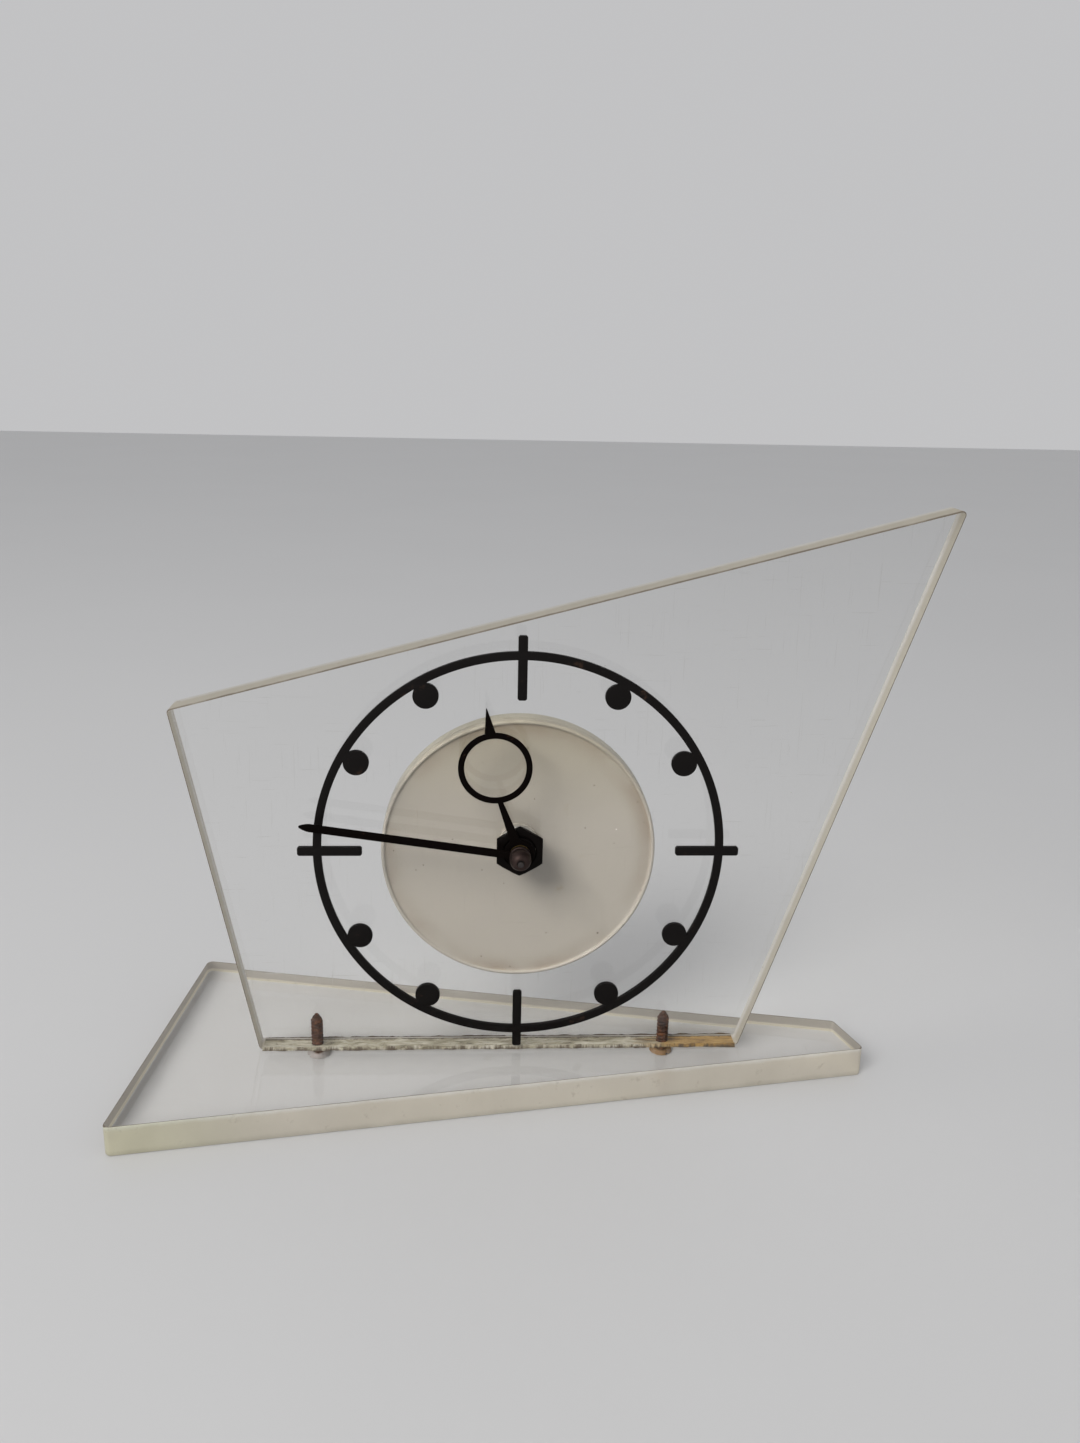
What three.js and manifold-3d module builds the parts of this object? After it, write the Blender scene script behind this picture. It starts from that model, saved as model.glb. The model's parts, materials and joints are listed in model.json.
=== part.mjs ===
// A free-standing mantel clock: a slanting clear acrylic panel glued and screwed upright on a clear acrylic
// base, a cut-out chapter ring and two hands in front of it, and a round wind-up movement in a cased shell
// behind it. Millimetres, +Z up, the dial faces -Y. The origin is on the underside of the base, straight
// below the dial's centre and in line with the panel's front face.
import * as THREE from "three";
import { mergeVertices } from "three/addons/utils/BufferGeometryUtils.js";
import Module from "manifold-3d";

const wasm = await Module();
wasm.setup();

// ---------------------------------------------------------------- driving dimensions
const GAP = 0.05; // between two pieces that touch
const RUNNING = 0.1; // radial clearance of anything that turns
const TURN = 2 * Math.PI;
const degrees = (angle) => (angle * Math.PI) / 180;

const BASE = {
  thickness: 10,
  corners: [[-125, -41.4], [118, -2.5], [112.3, 15.5], [-114.6, 61.9]], // x, y
  cornerRadius: 2,
};
const GLUE_THICKNESS = 0.3;
const PANEL = {
  thickness: 10,
  corners: [[-85, -71.4], [74.9, -71.4], [132.1, 109.3], [-107.7, 45.6]], // x, z from the dial's centre
  cornerRadius: 1.2,
};
const PANEL_BOTTOM = BASE.thickness + GLUE_THICKNESS + 2 * GAP;
const DIAL_HEIGHT = PANEL_BOTTOM - PANEL.corners[0][1];
const SCREW = {
  shank: 2, head: 3.85, headRim: 0.4, headDepth: 2.6, sunk: 0.2, rise: 11.3, point: 2.2, x: [-66.3, 49.6],
};

const RING = { radius: 65, width: 2.6, thickness: 1.5 };
const BAR = { from: 49.7, to: 69.9, width: 2.9 };
const DOT = { radius: 4, at: 58.8 };

const BUSH = { radius: 5, bore: 3.5, flange: 9, front: -2.6 };
const SPACER = 6.3; // radius of the ring between the panel and the case
const NUT = { acrossFlats: 14.6, thickness: 2 };
const PIPE = { radius: 3.2, bore: 2.3 };
const CANNON = { radius: 2.1, bore: 1.1 };
const ARBOR = { radius: 1, front: -12.2, back: 49.6 };
const PIVOT = 0.5; // radius of the train's pivots
const CAP = { radius: 3.4, front: -11.4 };
// The hour hand's hoop and spike stand to the left of its hub, and its stem leans over to meet them.
const HOUR_HAND = {
  front: -3.9, thickness: 0.6, angle: 351.4, hub: 4.6, stem: [1.6, 0.85],
  hoop: [-3.66, 29.5], hoopRadius: 11.5, strip: 1.9, spike: 1.65, tip: 48.95,
};
const MINUTE_HAND = {
  front: -5.6, thickness: 0.6, angle: 278.3, hub: 3.4, length: 69.35, width: 2.6, taper: 2.4,
};

// Depths along Y, from the panel's front face backwards.
const CASE = { front: 10.35, radius: 44.4, dish: 43.2, dishDepth: 0.8, wall: 1.1, back: 42.2, drop: -3.6 };
const DISC_FACE = CASE.front + CASE.dishDepth;
const DISC_BACK = DISC_FACE + CASE.wall;
const SHELL_FRONT = CASE.front + 3.4;
const PLATE = { radius: 31, thickness: 1.5, front: 19.5, rear: 36 };
const PLATE_BACK = PLATE.rear + PLATE.thickness;
const BETWEEN = PLATE.front + PLATE.thickness; // the plates' inner faces

// The wheels. A pair's module sets how far apart its arbors stand.
const LARGE = { barrel: 48, centre: 48, third: 45, fourth: 48, motion: 36, hour: 40 };
const SMALL = { train: 6, cannon: 12, motion: 10 };
const MODULE = { barrel: 0.55, centre: 0.5, third: 0.45, fourth: 0.36, cannon: 0.5, motion: 0.48 };

// An arbor's place is one wheel pair's centre distance away from the arbor before it.
const apart = (module, teethA, teethB) => (module * (teethA + teethB)) / 2;
const along = ([x, z], angle, distance) => [
  x + distance * Math.cos(degrees(angle)),
  z + distance * Math.sin(degrees(angle)),
];
const polar = (radius, angle) => [radius * Math.cos(angle), radius * Math.sin(angle)];
const CENTRE = [0, 0];
const HEADING = { barrel: 235, third: 20, fourth: 100, escape: 170, motion: 315, pallet: 180, balance: 200 };
const BARREL = along(CENTRE, HEADING.barrel, apart(MODULE.barrel, LARGE.barrel, SMALL.train));
const THIRD = along(CENTRE, HEADING.third, apart(MODULE.centre, LARGE.centre, SMALL.train));
const FOURTH = along(THIRD, HEADING.fourth, apart(MODULE.third, LARGE.third, SMALL.train));
const ESCAPE = along(FOURTH, HEADING.escape, apart(MODULE.fourth, LARGE.fourth, SMALL.train));
const PALLET = along(ESCAPE, HEADING.pallet, 7.2);
const BALANCE = along(PALLET, HEADING.balance, 9.8);
const MOTION = along(CENTRE, HEADING.motion, apart(MODULE.cannon, SMALL.cannon, LARGE.motion));
const PILLARS = [95, 195, 325].map((angle) => along(CENTRE, angle, 25.8));
const CLICK = along(BARREL, 10, 9.6);
const REGULATOR = { heading: 200, length: 8, swing: 12 };
const DRUM = { radius: 12, front: 22.1, back: 31.4, wall: 0.8, arbor: 1.6 };
const STUD = 1.1; // radius of the motion wheel's stud

// ---------------------------------------------------------------- colours
const finish = (color, roughness, metalness) => (
  new THREE.MeshStandardMaterial({ color, roughness, metalness })
);
const ACRYLIC = new THREE.MeshStandardMaterial({
  color: 0xe9ebe4, roughness: 0.08, metalness: 0, transparent: true, opacity: 0.35,
});
const GLUE = finish(0xcdbf93, 0.6, 0);
const BLACK = finish(0x161210, 0.45, 0.1);
const IVORY = finish(0xcfc7b4, 0.5, 0);
const RUST = finish(0x6b4126, 0.8, 0.4);
const WORN_CAP = finish(0x3a2a24, 0.55, 0.6);
const BRASS = finish(0xb08d4a, 0.35, 1);
const STEEL = finish(0x8b8d90, 0.35, 1);
const BLUED = finish(0x2a3350, 0.3, 1);

// ---------------------------------------------------------------- solids
// A three.js geometry as a closed solid whose faces point out.
function solid(geometry) {
  const bare = new THREE.BufferGeometry();
  bare.setAttribute("position", geometry.getAttribute("position"));
  bare.setIndex(geometry.index);
  const merged = mergeVertices(bare, 1e-4);
  const corners = merged.index.array;
  const kept = [];
  for (let i = 0; i < corners.length; i += 3) {
    const [a, b, c] = [corners[i], corners[i + 1], corners[i + 2]];
    if (a !== b && b !== c && c !== a) kept.push(a, b, c);
  }
  const vertProperties = merged.attributes.position.array;
  const make = (triVerts) => new wasm.Manifold(new wasm.Mesh({ numProp: 3, vertProperties, triVerts }));
  const made = make(new Uint32Array(kept));
  return made.volume() > 0 ? made : make(new Uint32Array(kept.reverse()));
}

// The solid's surface as a geometry that three.js can draw.
function surface(made) {
  const mesh = made.getMesh();
  const geometry = new THREE.BufferGeometry();
  geometry.setAttribute("position", new THREE.BufferAttribute(new Float32Array(mesh.vertProperties), 3));
  geometry.setIndex(new THREE.BufferAttribute(new Uint32Array(mesh.triVerts), 1));
  const flat = geometry.toNonIndexed();
  flat.computeVertexNormals();
  return flat;
}

// A flat piece: its outline lies in X and Z, and it runs from y0 back to y1.
function plate(outline, y0, y1, arcSteps = 3) {
  const options = { depth: y1 - y0, bevelEnabled: false, curveSegments: arcSteps };
  return solid(new THREE.ExtrudeGeometry(outline, options).rotateX(Math.PI / 2).translate(0, y1, 0));
}

// A piece turned about the Y axis: its profile is a list of [radius, y].
function turned(profile, steps = 14) {
  return solid(new THREE.LatheGeometry(profile.map(([r, y]) => new THREE.Vector2(r, y)), steps));
}

function rod(radius, y0, y1, steps = 10) {
  return turned([[0, y0], [radius, y0], [radius, y1], [0, y1]], steps);
}

// A hole's flats, not its corners, stand off its axis by the radius, so a turning rod of that radius clears.
function hole(radius, y0, y1, steps = 10) {
  return rod(radius / Math.cos(Math.PI / steps), y0, y1, steps);
}

function tube(radius, bore, y0, y1, steps = 14) {
  const inner = bore / Math.cos(Math.PI / steps);
  return turned([[inner, y0], [radius, y0], [radius, y1], [inner, y1], [inner, y0]], steps);
}

function block(width, depth, height, x, y, z) {
  return solid(new THREE.BoxGeometry(width, depth, height).translate(x, y, z));
}

// A hole away from the Y axis.
const holeAt = (radius, y0, y1, [x, z], steps = 8) => hole(radius, y0, y1, steps).translate(x, 0, z);

function polygon(points) {
  return new THREE.Shape(points.map(([x, z]) => new THREE.Vector2(x, z)));
}

// A straight-sided outline with its corners rounded off.
function roundedOutline(corners, radius) {
  const points = corners.map(([x, z]) => new THREE.Vector2(x, z));
  const shape = new THREE.Shape();
  points.forEach((corner, i) => {
    const before = points.at(i - 1).clone().sub(corner).setLength(radius).add(corner);
    const after = points[(i + 1) % points.length].clone().sub(corner).setLength(radius).add(corner);
    if (i === 0) shape.moveTo(before.x, before.y);
    else shape.lineTo(before.x, before.y);
    shape.quadraticCurveTo(corner.x, corner.y, after.x, after.y);
  });
  shape.closePath();
  return shape;
}

function regularOutline(sides, radius, firstAngle = 0) {
  const at = (i) => firstAngle + (i * TURN) / sides;
  return polygon(Array.from({ length: sides }, (_, i) => polar(radius, at(i))));
}

// A spur gear's outline with straight-flanked teeth and one tooth centred on the angle toothAt. A wheel's
// teeth meet in a V at their roots, and a pinion's few leaves stand apart.
function gearOutline(teeth, module, toothAt, leaf = false) {
  const pitch = TURN / teeth;
  const radius = (module * teeth) / 2;
  const outer = radius + 0.7 * module;
  const inner = radius - (leaf ? 1.05 : 1.6) * module;
  const flank = leaf
    ? [[inner, -0.21], [outer, -0.09], [outer, 0.09], [inner, 0.21]]
    : [[inner, -0.5], [outer, -0.06], [outer, 0.06]];
  const points = [];
  for (let i = 0; i < teeth; i += 1) {
    for (const [r, part] of flank) {
      points.push(polar(r, toothAt + (i + part) * pitch));
    }
  }
  return polygon(points);
}

// Windows between a wheel's spokes, from a hub out to a rim.
function spokeWindows(count, hub, rim, spokeWidth, turn = 0) {
  return Array.from({ length: count }, (_, i) => {
    const start = turn + (i * TURN) / count;
    const end = start + TURN / count;
    const window = new THREE.Path();
    const outer = spokeWidth / 2 / rim;
    const inner = spokeWidth / 2 / hub;
    window.absarc(0, 0, rim, start + outer, end - outer, false);
    window.absarc(0, 0, hub, end - inner, start + inner, true);
    window.closePath();
    return window;
  });
}

// A flat wheel bored for its arbor, with crossings where a hub's radius is given.
function wheel(teeth, module, toothAt, y0, y1, boreRadius, hub = 0) {
  const outline = gearOutline(teeth, module, degrees(toothAt));
  const rim = (module * teeth) / 2 - 3.2 * module;
  if (hub) outline.holes = spokeWindows(4, hub, rim, 1.3, degrees(toothAt));
  return plate(outline, y0, y1).subtract(hole(boreRadius, y0 - 1, y1 + 1));
}

// A small gear with a gap, not a tooth, on the angle gapAt, so that it meets a wheel's tooth there.
function pinion(teeth, module, gapAt, y0, y1) {
  return plate(gearOutline(teeth, module, degrees(gapAt) + Math.PI / teeth, true), y0, y1);
}

// An arbor between the plates, with thinner pivots that run in them.
function pivotedShaft(radius) {
  const shaft = rod(radius, BETWEEN + RUNNING, PLATE.rear - RUNNING, 10);
  return shaft.add(rod(PIVOT, PLATE.front, PLATE_BACK, 8));
}

// A pinion cut on its own arbor.
function pinionArbor(teeth, module, gapAt, [y0, y1], radius) {
  return pinion(teeth, module, gapAt, y0, y1).add(pivotedShaft(radius));
}

// A flat strip wound in a spiral about the Y axis.
function spiral(inner, outer, turns, strip, y0, y1, stepsPerTurn) {
  const steps = Math.round(turns * stepsPerTurn);
  const at = (i, offset) => {
    const radius = inner + ((outer - inner) * i) / steps + offset;
    return polar(radius, (i / stepsPerTurn) * TURN);
  };
  const outside = Array.from({ length: steps + 1 }, (_, i) => at(i, strip / 2));
  const inside = Array.from({ length: steps + 1 }, (_, i) => at(i, -strip / 2));
  return plate(polygon([...outside, ...inside.reverse()]), y0, y1);
}

// ---------------------------------------------------------------- assembly
const clock = new THREE.Group();
const dial = new THREE.Group(); // everything that is laid out from the dial's centre
dial.position.z = DIAL_HEIGHT;
clock.add(dial);

function add(group, name, made, material, [x, z] = CENTRE, turn = 0) {
  const mesh = new THREE.Mesh(surface(made), material);
  mesh.name = name;
  mesh.position.set(x, 0, z);
  mesh.rotation.y = degrees(turn);
  group.add(mesh);
}

// ---- stand: base, panel, glue and the two screws that come up from below
const screwY = PANEL.thickness / 2;

// A countersunk wood screw standing on its head, its axis along Z.
function woodScrew(clearance = 0) {
  const length = PANEL_BOTTOM + SCREW.rise;
  const profile = [
    [0, -clearance],
    [SCREW.head + clearance, -clearance],
    [SCREW.head + clearance, SCREW.headRim + clearance],
    [SCREW.shank + clearance, SCREW.headDepth + clearance],
    [SCREW.shank + clearance, length - SCREW.point],
    [0, length + clearance],
  ];
  return turned(profile.map(([r, h]) => [r, h + SCREW.sunk]), 10).rotate([90, 0, 0]);
}

function atScrews(made) {
  return SCREW.x.map((x) => made.translate(x, screwY, 0));
}

const screwHoles = atScrews(woodScrew(GAP + 0.02));
const baseOutline = roundedOutline(BASE.corners, BASE.cornerRadius);
const baseBlank = solid(
  new THREE.ExtrudeGeometry(baseOutline, { depth: BASE.thickness, bevelEnabled: false, curveSegments: 3 }),
);
const mouth = SCREW.head + RUNNING;
const mouths = atScrews(solid(new THREE.CylinderGeometry(mouth, mouth, 1, 10).rotateX(TURN / 4)));
const base = [...screwHoles, ...mouths].reduce((made, hole) => made.subtract(hole), baseBlank);
add(clock, "acrylic_base", base, ACRYLIC);

const [bottomLeft, bottomRight] = PANEL.corners;
const glueBlank = block(
  bottomRight[0] - bottomLeft[0] - 2, PANEL.thickness - 0.6, GLUE_THICKNESS,
  (bottomLeft[0] + bottomRight[0]) / 2, screwY, BASE.thickness + GAP + GLUE_THICKNESS / 2,
);
add(clock, "glue_line", screwHoles.reduce((made, hole) => made.subtract(hole), glueBlank), GLUE);
screwHoles.forEach((_, i) => {
  const name = ["base_screw_left", "base_screw_right"][i];
  add(clock, name, woodScrew().translate(SCREW.x[i], screwY, 0), RUST);
});

const panelBlank = plate(roundedOutline(PANEL.corners, PANEL.cornerRadius), 0, PANEL.thickness, 3)
  .translate(0, 0, DIAL_HEIGHT);
const panelCuts = [...screwHoles, holeAt(BUSH.radius + 0.3, -1, PANEL.thickness + 1, [0, DIAL_HEIGHT], 24)];
add(clock, "acrylic_panel", panelCuts.reduce((made, hole) => made.subtract(hole), panelBlank), ACRYLIC);

// ---- chapter ring: one flat cut-out, with a bar at each quarter and a dot at the other hours
function chapterRing() {
  const [y0, y1] = [-RING.thickness - GAP, -GAP];
  let made = tube(RING.radius, RING.radius - RING.width, y0, y1, 60);
  const bar = block(BAR.width, y1 - y0, BAR.to - BAR.from, 0, (y0 + y1) / 2, (BAR.from + BAR.to) / 2);
  const dot = rod(DOT.radius, y0, y1, 14).translate(0, 0, DOT.at);
  for (let hour = 0; hour < 12; hour += 1) {
    made = made.add((hour % 3 === 0 ? bar : dot).rotate([0, hour * 30, 0]));
  }
  return made;
}
add(dial, "chapter_ring", chapterRing(), BLACK);

// ---- centre fixing: a threaded bush through the case and the panel, held by a thin hexagon nut
const [flangeFront, flangeBack] = [DISC_BACK + GAP, DISC_BACK + 1.4];
add(dial, "centre_bush", turned([
  [BUSH.bore, BUSH.front], [BUSH.radius, BUSH.front], [BUSH.radius, flangeFront], [BUSH.flange, flangeFront],
  [BUSH.flange, flangeBack], [BUSH.bore, flangeBack], [BUSH.bore, BUSH.front],
], 24), BLACK);
const nutOutline = regularOutline(6, NUT.acrossFlats / Math.sqrt(3), TURN / 4);
add(dial, "front_nut", plate(nutOutline, -NUT.thickness - GAP, -GAP)
  .subtract(hole(BUSH.radius + GAP, -9, 9, 24)), BLACK);
add(dial, "rear_washer", tube(SPACER, BUSH.radius + 0.3, PANEL.thickness + GAP, DISC_FACE - GAP, 24), IVORY);

// ---- case: a dished front with a raised rim, and a tapering shell closed at the back
const housing = new THREE.Group();
housing.position.z = CASE.drop;
dial.add(housing);

const inCase = ([x, z]) => [x, z - CASE.drop];
const rimInside = CASE.radius - 1.6;
add(housing, "case_front", turned([
  [0, DISC_FACE], [CASE.dish - 0.3, DISC_FACE], [CASE.dish, CASE.front + 0.3],
  [CASE.dish + 0.3, CASE.front], [CASE.radius - 0.4, CASE.front], [CASE.radius, CASE.front + 0.5],
  [CASE.radius, SHELL_FRONT - GAP], [rimInside, SHELL_FRONT - GAP], [rimInside, DISC_BACK], [0, DISC_BACK],
], 36).subtract(holeAt(BUSH.radius + 0.4, CASE.front, SHELL_FRONT, inCase(CENTRE), 24)), IVORY);

const SHELL_PROFILE = [
  [CASE.radius, SHELL_FRONT], [CASE.radius - 0.2, 19.5], [37.8, 34], [36.8, 37.6], [35.3, 40.6],
  [32.9, CASE.back],
];
function caseShell() {
  const floor = CASE.back - CASE.wall;
  const inside = SHELL_PROFILE.map(([r, y]) => [r - CASE.wall, Math.min(y, floor)]);
  const cup = turned([[0, CASE.back], ...[...SHELL_PROFILE].reverse(), ...inside, [0, floor]], 32);
  const through = [CASE.back - 3, CASE.back + 3];
  const slot = new THREE.Shape();
  const [from, to] = [-REGULATOR.swing - 6, REGULATOR.swing + 6].map((a) => degrees(REGULATOR.heading + a));
  slot.absarc(0, 0, REGULATOR.length + 1.3, from, to, false);
  slot.absarc(0, 0, REGULATOR.length - 1.3, to, from, true);
  const [balanceX, balanceZ] = inCase(BALANCE);
  return PILLARS.reduce((made, at) => made.subtract(holeAt(1.5, ...through, inCase(at))), cup)
    .subtract(holeAt(2.6, ...through, inCase(CENTRE), 16))
    .subtract(holeAt(4.4, ...through, inCase(BARREL), 20))
    .subtract(plate(slot, ...through).translate(balanceX, 0, balanceZ));
}
add(housing, "case_shell", caseShell(), IVORY);

// ---- movement frame: two plates on three pillars, each held by a nut, and a screw that holds the case on
const ARBORS = [CENTRE, BARREL, THIRD, FOURTH, ESCAPE, PALLET, BALANCE];
const PIVOT_HOLES = new Map([[CENTRE, ARBOR.radius + RUNNING], [BARREL, DRUM.arbor + RUNNING]]);
function framePlate(y0, y1) {
  const disc = rod(PLATE.radius, y0, y1, 32);
  const drilled = PILLARS.reduce((made, at) => made.subtract(holeAt(1.9, y0 - 1, y1 + 1, at)), disc);
  return ARBORS.reduce(
    (made, at) => made.subtract(holeAt(PIVOT_HOLES.get(at) ?? PIVOT + RUNNING, y0 - 1, y1 + 1, at)),
    drilled,
  );
}
add(dial, "front_plate", framePlate(PLATE.front, BETWEEN), BRASS);
add(dial, "rear_plate", framePlate(PLATE.rear, PLATE_BACK), BRASS);
const pillarEnd = CASE.back - CASE.wall - GAP;
PILLARS.forEach((at, i) => {
  const body = tube(2.4, 0.9, BETWEEN + GAP, PLATE.rear - GAP, 12);
  const ends = tube(1.8, 0.9, DISC_BACK + GAP, pillarEnd, 12);
  const closed = rod(1.8, DISC_BACK + GAP, PLATE.rear - 8, 12);
  add(dial, `pillar_${i + 1}`, body.add(ends).add(closed), BRASS, at);
  const nutHeight = [PLATE_BACK + GAP, PLATE_BACK + 1.8];
  const nut = plate(regularOutline(6, 3.2), ...nutHeight).subtract(hole(1.9, PLATE_BACK, PLATE_BACK + 3));
  add(dial, `plate_nut_${i + 1}`, nut, STEEL, at);
  const head = [CASE.back + GAP, CASE.back + 1.5];
  const slotted = rod(2.6, ...head, 16).subtract(block(6, 0.8, 0.6, 0, head[1], 0));
  add(dial, `case_screw_${i + 1}`, rod(0.8, PLATE.rear - 4, head[0] + 0.1, 10).add(slotted), STEEL, at);
});

// ---- motion work, in front of the front plate: it turns the hour hand once for twelve turns of the arbor
const hourWheelY = [15.3, 16.3];
const motionWheelY = [17, 18];
add(dial, "centre_arbor", rod(ARBOR.radius, ARBOR.front, ARBOR.back, 14), STEEL);
const cannonTeeth = pinion(SMALL.cannon, MODULE.cannon, HEADING.motion, 16.7, 18.6);
add(dial, "cannon_pinion", cannonTeeth.add(rod(CANNON.radius, MINUTE_HAND.front, 19, 12))
  .subtract(hole(CANNON.bore, -12, 22, 12)), BRASS);
add(dial, "hour_wheel", wheel(LARGE.hour, MODULE.motion, HEADING.motion, ...hourWheelY, PIPE.bore)
  .add(rod(PIPE.radius, HOUR_HAND.front, hourWheelY[1], 14))
  .subtract(hole(PIPE.bore, -12, 22, 14)), BRASS);
const motionBack = HEADING.motion + 180;
const motionWheel = wheel(LARGE.motion, MODULE.cannon, motionBack, ...motionWheelY, STUD + RUNNING);
add(dial, "motion_wheel", motionWheel, BRASS, MOTION);
add(dial, "motion_pinion", pinion(SMALL.motion, MODULE.motion, motionBack, 14.9, 16.9)
  .subtract(hole(STUD + RUNNING, 10, 20)), STEEL, MOTION);
const studBack = PLATE.front - GAP;
add(dial, "motion_stud", rod(STUD, 14.2, studBack).add(rod(2, 18.2, studBack)), STEEL, MOTION);

// ---- hands, drawn pointing at twelve and then turned to the time they show
function hourHand() {
  const { hoop: [hoopX, hoopZ], hoopRadius, strip, stem: [foot, top], spike, tip } = HOUR_HAND;
  const [y0, y1] = [HOUR_HAND.front, HOUR_HAND.front + HOUR_HAND.thickness];
  const stemTop = hoopZ - hoopRadius + strip / 2;
  const spikeFoot = hoopZ + hoopRadius - strip / 2;
  const stem = polygon([[-foot, 0], [foot, 0], [hoopX + top, stemTop], [hoopX - top, stemTop]]);
  const point = polygon([
    [hoopX - spike, spikeFoot], [hoopX + spike, spikeFoot], [hoopX + RUNNING, tip], [hoopX - RUNNING, tip],
  ]);
  return rod(HOUR_HAND.hub, y0, y1, 16)
    .add(plate(stem, y0, y1))
    .add(tube(hoopRadius, hoopRadius - strip, y0, y1, 28).translate(hoopX, 0, hoopZ))
    .add(plate(point, y0, y1))
    .subtract(hole(PIPE.radius + GAP, y0 - 1, y1 + 1, 18));
}

function minuteHand() {
  const { length, width, taper, front: y0, thickness, hub } = MINUTE_HAND;
  const y1 = y0 + thickness;
  const half = width / 2;
  const tip = 0.35; // half the width of the blunt tip
  const baton = polygon([
    [-half, 0], [half, 0], [half, length - taper], [tip, length], [-tip, length], [-half, length - taper],
  ]);
  return plate(baton, y0, y1)
    .add(rod(hub, y0, y1, 18))
    .subtract(hole(CANNON.radius + GAP, y0 - 1, y1 + 1, 16));
}
add(dial, "hour_hand", hourHand(), BLACK, CENTRE, HOUR_HAND.angle);
add(dial, "minute_hand", minuteHand(), BLACK, CENTRE, MINUTE_HAND.angle);
const capBack = MINUTE_HAND.front - GAP;
const capBore = ARBOR.radius + GAP;
add(dial, "hand_cap", turned([
  [capBore, capBack], [capBore, CAP.front], [2.1, CAP.front + 0.2], [2.9, CAP.front + 1],
  [CAP.radius, CAP.front + 2.4], [CAP.radius, capBack], [capBore, capBack],
], 18), WORN_CAP);

// ---- going train, between the plates
const SLEEVE = 1.1 + GAP; // bore of what rides on the centre arbor
add(dial, "centre_pinion", pinion(SMALL.train, MODULE.barrel, HEADING.barrel, 21.5, 24.3)
  .add(rod(1.6, 24.2, 32.6, 12)).subtract(hole(SLEEVE, 20, 40, 12)), STEEL);
const centreWheel = wheel(LARGE.centre, MODULE.centre, HEADING.third, 32.7, 33.7, SLEEVE, 3.4);
add(dial, "centre_wheel", centreWheel, BRASS);
add(dial, "clutch_spring", turned([
  [SLEEVE, 34.2], [2.2, 34.2], [3.6, 33.8], [3.8, 34], [2.3, 34.6], [SLEEVE, 34.6], [SLEEVE, 34.2],
], 16), STEEL);

const greatTeeth = gearOutline(LARGE.barrel, MODULE.barrel, degrees(HEADING.barrel + 180));
const drumBack = DRUM.back - DRUM.wall;
const barrelDrum = plate(greatTeeth, DRUM.front, DRUM.front + 1.3)
  .add(rod(DRUM.radius, DRUM.front, drumBack, 20))
  .subtract(hole(DRUM.radius - DRUM.wall, DRUM.front + DRUM.wall, DRUM.back, 20))
  .subtract(hole(DRUM.arbor + RUNNING, DRUM.front - 1, DRUM.back));
add(dial, "barrel_drum", barrelDrum, BRASS, BARREL);
const barrelCover = tube(DRUM.radius, DRUM.arbor + RUNNING, drumBack + GAP, DRUM.back, 20);
add(dial, "barrel_cover", barrelCover, BRASS, BARREL);
add(dial, "mainspring", spiral(3.4, 10.4, 3.5, 0.5, 23.4, 30.2, 10), BLUED, BARREL);
const squareFrom = CASE.back + 0.6;
add(dial, "barrel_arbor", rod(DRUM.arbor, PLATE.front, CASE.back + 0.8, 14)
  .add(rod(2.6, 23.5, 30.1, 14))
  .add(block(2, 8, 2, 0, squareFrom + 4, 0)), STEEL, BARREL);

const thirdLevel = [29.4, 30.4];
const fourthLevel = [26.2, 27.2];
const escapeLevel = [23.4, 24.4];
const thirdBack = HEADING.third + 180;
const fourthBack = HEADING.fourth + 180;
const escapeBack = HEADING.escape + 180;
const STAFF = { third: 0.9, fourth: 0.8, escape: 0.6, balance: 0.8 }; // radii of the arbors
const thirdPinion = pinionArbor(SMALL.train, MODULE.centre, thirdBack, [32.2, 34.2], STAFF.third);
const fourthPinion = pinionArbor(SMALL.train, MODULE.third, fourthBack, [28.9, 30.9], STAFF.fourth);
const escapePinion = pinionArbor(SMALL.train, MODULE.fourth, escapeBack, [25.7, 27.7], STAFF.escape);
const thirdWheel = wheel(LARGE.third, MODULE.third, HEADING.fourth, ...thirdLevel, STAFF.third + GAP, 2.6);
const fourthWheel = wheel(LARGE.fourth, MODULE.fourth, HEADING.escape, ...fourthLevel, STAFF.fourth + GAP, 2);
add(dial, "third_pinion", thirdPinion, STEEL, THIRD);
add(dial, "third_wheel", thirdWheel, BRASS, THIRD);
add(dial, "fourth_pinion", fourthPinion, STEEL, FOURTH);
add(dial, "fourth_wheel", fourthWheel, BRASS, FOURTH);
add(dial, "escape_pinion", escapePinion, STEEL, ESCAPE);

// ---- escapement: a fifteen-toothed wheel, the pallet lever and the balance with its hairspring
function escapeWheel() {
  const teeth = 15;
  const points = [];
  for (let i = 0; i < teeth; i += 1) {
    const at = (r, part) => polar(r, ((i + part) * TURN) / teeth);
    points.push(at(3.5, 0), at(4.8, 0.12), at(4.8, 0.26), at(3.5, 0.34));
  }
  return plate(polygon(points), ...escapeLevel).subtract(hole(STAFF.escape + GAP, 20, 30));
}
add(dial, "escape_wheel", escapeWheel(), BRASS, ESCAPE);

// The lever's two pallets stand just off the escape wheel, and its fork reaches towards the balance.
function palletLever() {
  const upperJaw = [[1.9, 3.3], [3.7, 5], [4.4, 4.4], [2.6, 2.9]];
  const mirrored = ([x, z]) => [x, -z];
  const lowerJaw = upperJaw.map(mirrored).reverse();
  const upperProng = [[-4.4, 0.4], [-5.4, 1], [-5.4, 0.4]];
  const lowerProng = upperProng.map(mirrored).reverse();
  const fork = polygon([[0, -0.4], [0, 0.4], ...upperProng, [-4.8, 0], ...lowerProng]);
  return plate(polygon([[1.2, 0], ...upperJaw, [1.8, 0], ...lowerJaw]), ...escapeLevel)
    .add(rod(1.5, ...escapeLevel))
    .add(plate(fork, ...escapeLevel).rotate([0, -(HEADING.balance - 180), 0]))
    .subtract(hole(STAFF.escape + GAP, 20, 30));
}
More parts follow.
